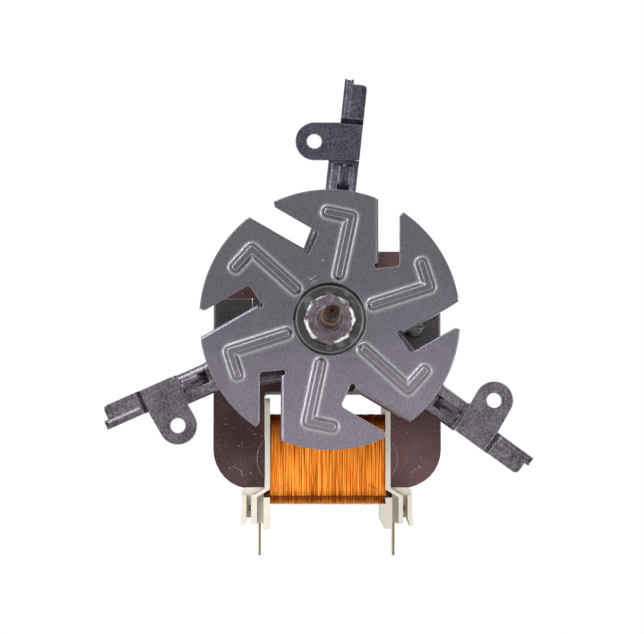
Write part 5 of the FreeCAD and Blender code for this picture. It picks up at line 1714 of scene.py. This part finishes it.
@dataclass
class Studio:
    """Floor, backdrop, lamps and the camera at the photograph's angle."""

    distance: float = 1.0
    yaw: float = 1.25
    pitch: float = 4.63
    aim_x: float = -2.42 * MM
    aim_z: float = 1.68 * MM
    lens: float = 160.4
    sensor: float = 36.0
    floor_drop: float = 0.14
    floor_reach: float = 6.0
    floor_colour: Colour = (0.86, 0.86, 0.86)
    world_colour: Colour = (0.97, 0.98, 1.0)
    world_strength: float = 0.50
    seen_colour: Colour = (1.0, 1.0, 1.0)
    lamps: tuple[tuple[str, tuple[float, float, float], float, float], ...] = (
        ("key", (-0.60, -0.90, 1.00), 0.50, 13.0),
        ("fill_right", (0.80, -1.15, -0.08), 0.45, 6.0),
        ("fill_left", (-0.95, -1.05, 0.15), 0.40, 7.5),
        ("rim", (0.25, 0.90, 0.90), 0.70, 6.0))

    def build(self) -> None:
        """Make the floor, light the scene and place the camera."""
        self._floor()
        self._world()
        for name, place, size, power in self.lamps:
            self._lamp(name, place, size, power)
        self._camera()
        bpy.context.scene.view_settings.view_transform = "Standard"

    @staticmethod
    def _white_where_seen(graph: Graph, lit: bpy.types.Node, white: bpy.types.Node) -> bpy.types.NodeSocket:
        """Mix a shader with plain white, where a camera, mirror or glass ray meets it.

        Args:
            graph: The node tree of the floor or the world.
            lit: The shader that lights the object.
            white: The shader that is seen.

        Returns:
            The mixed shader.
        """
        rays = graph.node("ShaderNodeLightPath").outputs
        seen = Signal(graph, rays["Is Camera Ray"]) + Signal(graph, rays["Is Glossy Ray"])
        seen = (seen + Signal(graph, rays["Is Transmission Ray"])).between(0.0, 1.0)
        mixed = graph.node("ShaderNodeMixShader", {}, {
            "Fac": seen, "Shader": lit.outputs[0], "Shader_001": white.outputs[0]})
        return mixed.outputs[0]

    def _floor(self) -> None:
        """Lay a pale floor under the object."""
        level = CAD_BOX[0].z - self.floor_drop
        reach = self.floor_reach

        def build(shape: bmesh.types.BMesh) -> None:
            """Add one large quad."""
            corners = ((-reach, -reach), (reach, -reach), (reach, reach), (-reach, reach))
            shape.faces.new([shape.verts.new((x, y, level)) for x, y in corners])
        floor = bpy.data.objects.new("floor", mesh_from(build, "floor"))
        recipe = Recipe("floor")
        lit = recipe.node("ShaderNodeBsdfDiffuse", {}, {"Color": self.floor_colour})
        white = recipe.node("ShaderNodeEmission", {}, {"Color": self.seen_colour, "Strength": 1.0})
        shown = self._white_where_seen(recipe, lit, white)
        recipe.node("ShaderNodeOutputMaterial", {}, {"Surface": shown})
        floor.data.materials.append(recipe.material)
        bpy.context.scene.collection.objects.link(floor)

    def _world(self) -> None:
        """Light everything softly from all round, with white behind."""
        world = bpy.data.worlds.new("studio")
        world.use_nodes = True
        bpy.context.scene.world = world
        graph = Graph(world.node_tree)
        lit = graph.node("ShaderNodeBackground", {},
                         {"Color": self.world_colour, "Strength": self.world_strength})
        white = graph.node("ShaderNodeBackground", {}, {"Color": self.seen_colour, "Strength": 1.0})
        graph.node("ShaderNodeOutputWorld", {}, {"Surface": self._white_where_seen(graph, lit, white)})

    def _lamp(self, name: str, place: tuple[float, float, float], size: float, power: float) -> None:
        """Hang a square soft lamp that faces the object.

        Args:
            name: The lamp's name.
            place: Where it hangs.
            size: Side of the lamp.
            power: Its power in watts.
        """
        light = bpy.data.lights.new(name, "AREA")
        light.shape = "SQUARE"
        light.size = size
        light.energy = power
        lamp = bpy.data.objects.new(name, light)
        lamp.location = place
        lamp.rotation_mode = "QUATERNION"
        lamp.rotation_quaternion = (-Vector(place)).to_track_quat("-Z", "Y")
        bpy.context.scene.collection.objects.link(lamp)

    def _camera(self) -> None:
        """Place the camera."""
        yaw, pitch = math.radians(self.yaw), math.radians(self.pitch)
        ahead = Vector((math.sin(yaw) * math.cos(pitch), math.cos(yaw) * math.cos(pitch), math.sin(pitch)))
        right = Vector((math.cos(yaw), -math.sin(yaw), 0.0))
        up = right.cross(ahead)
        target = right * self.aim_x + up * self.aim_z
        data = bpy.data.cameras.new("camera")
        data.lens = self.lens
        data.sensor_width = self.sensor
        camera = bpy.data.objects.new("camera", data)
        turn = Matrix((right, up, -ahead)).transposed().to_4x4()
        camera.matrix_world = Matrix.Translation(target - ahead * self.distance) @ turn
        bpy.context.scene.collection.objects.link(camera)
        bpy.context.scene.camera = camera


def main() -> None:
    """Build the studio, dress the solids and add each sub-assembly's pieces."""
    logging.basicConfig(level=logging.INFO, format="%(message)s")
    Studio().build()
    workshop = Workshop()
    workshop.dress_solids()
    Winding().build(workshop)
    Stack().build(workshop)
    RibBlend().build(workshop)
    for side, sign in SIDES.items():
        ClampThread().build(workshop, side)
        LeadWire().build(workshop, side, sign)


if __name__ == "__main__":
    main()
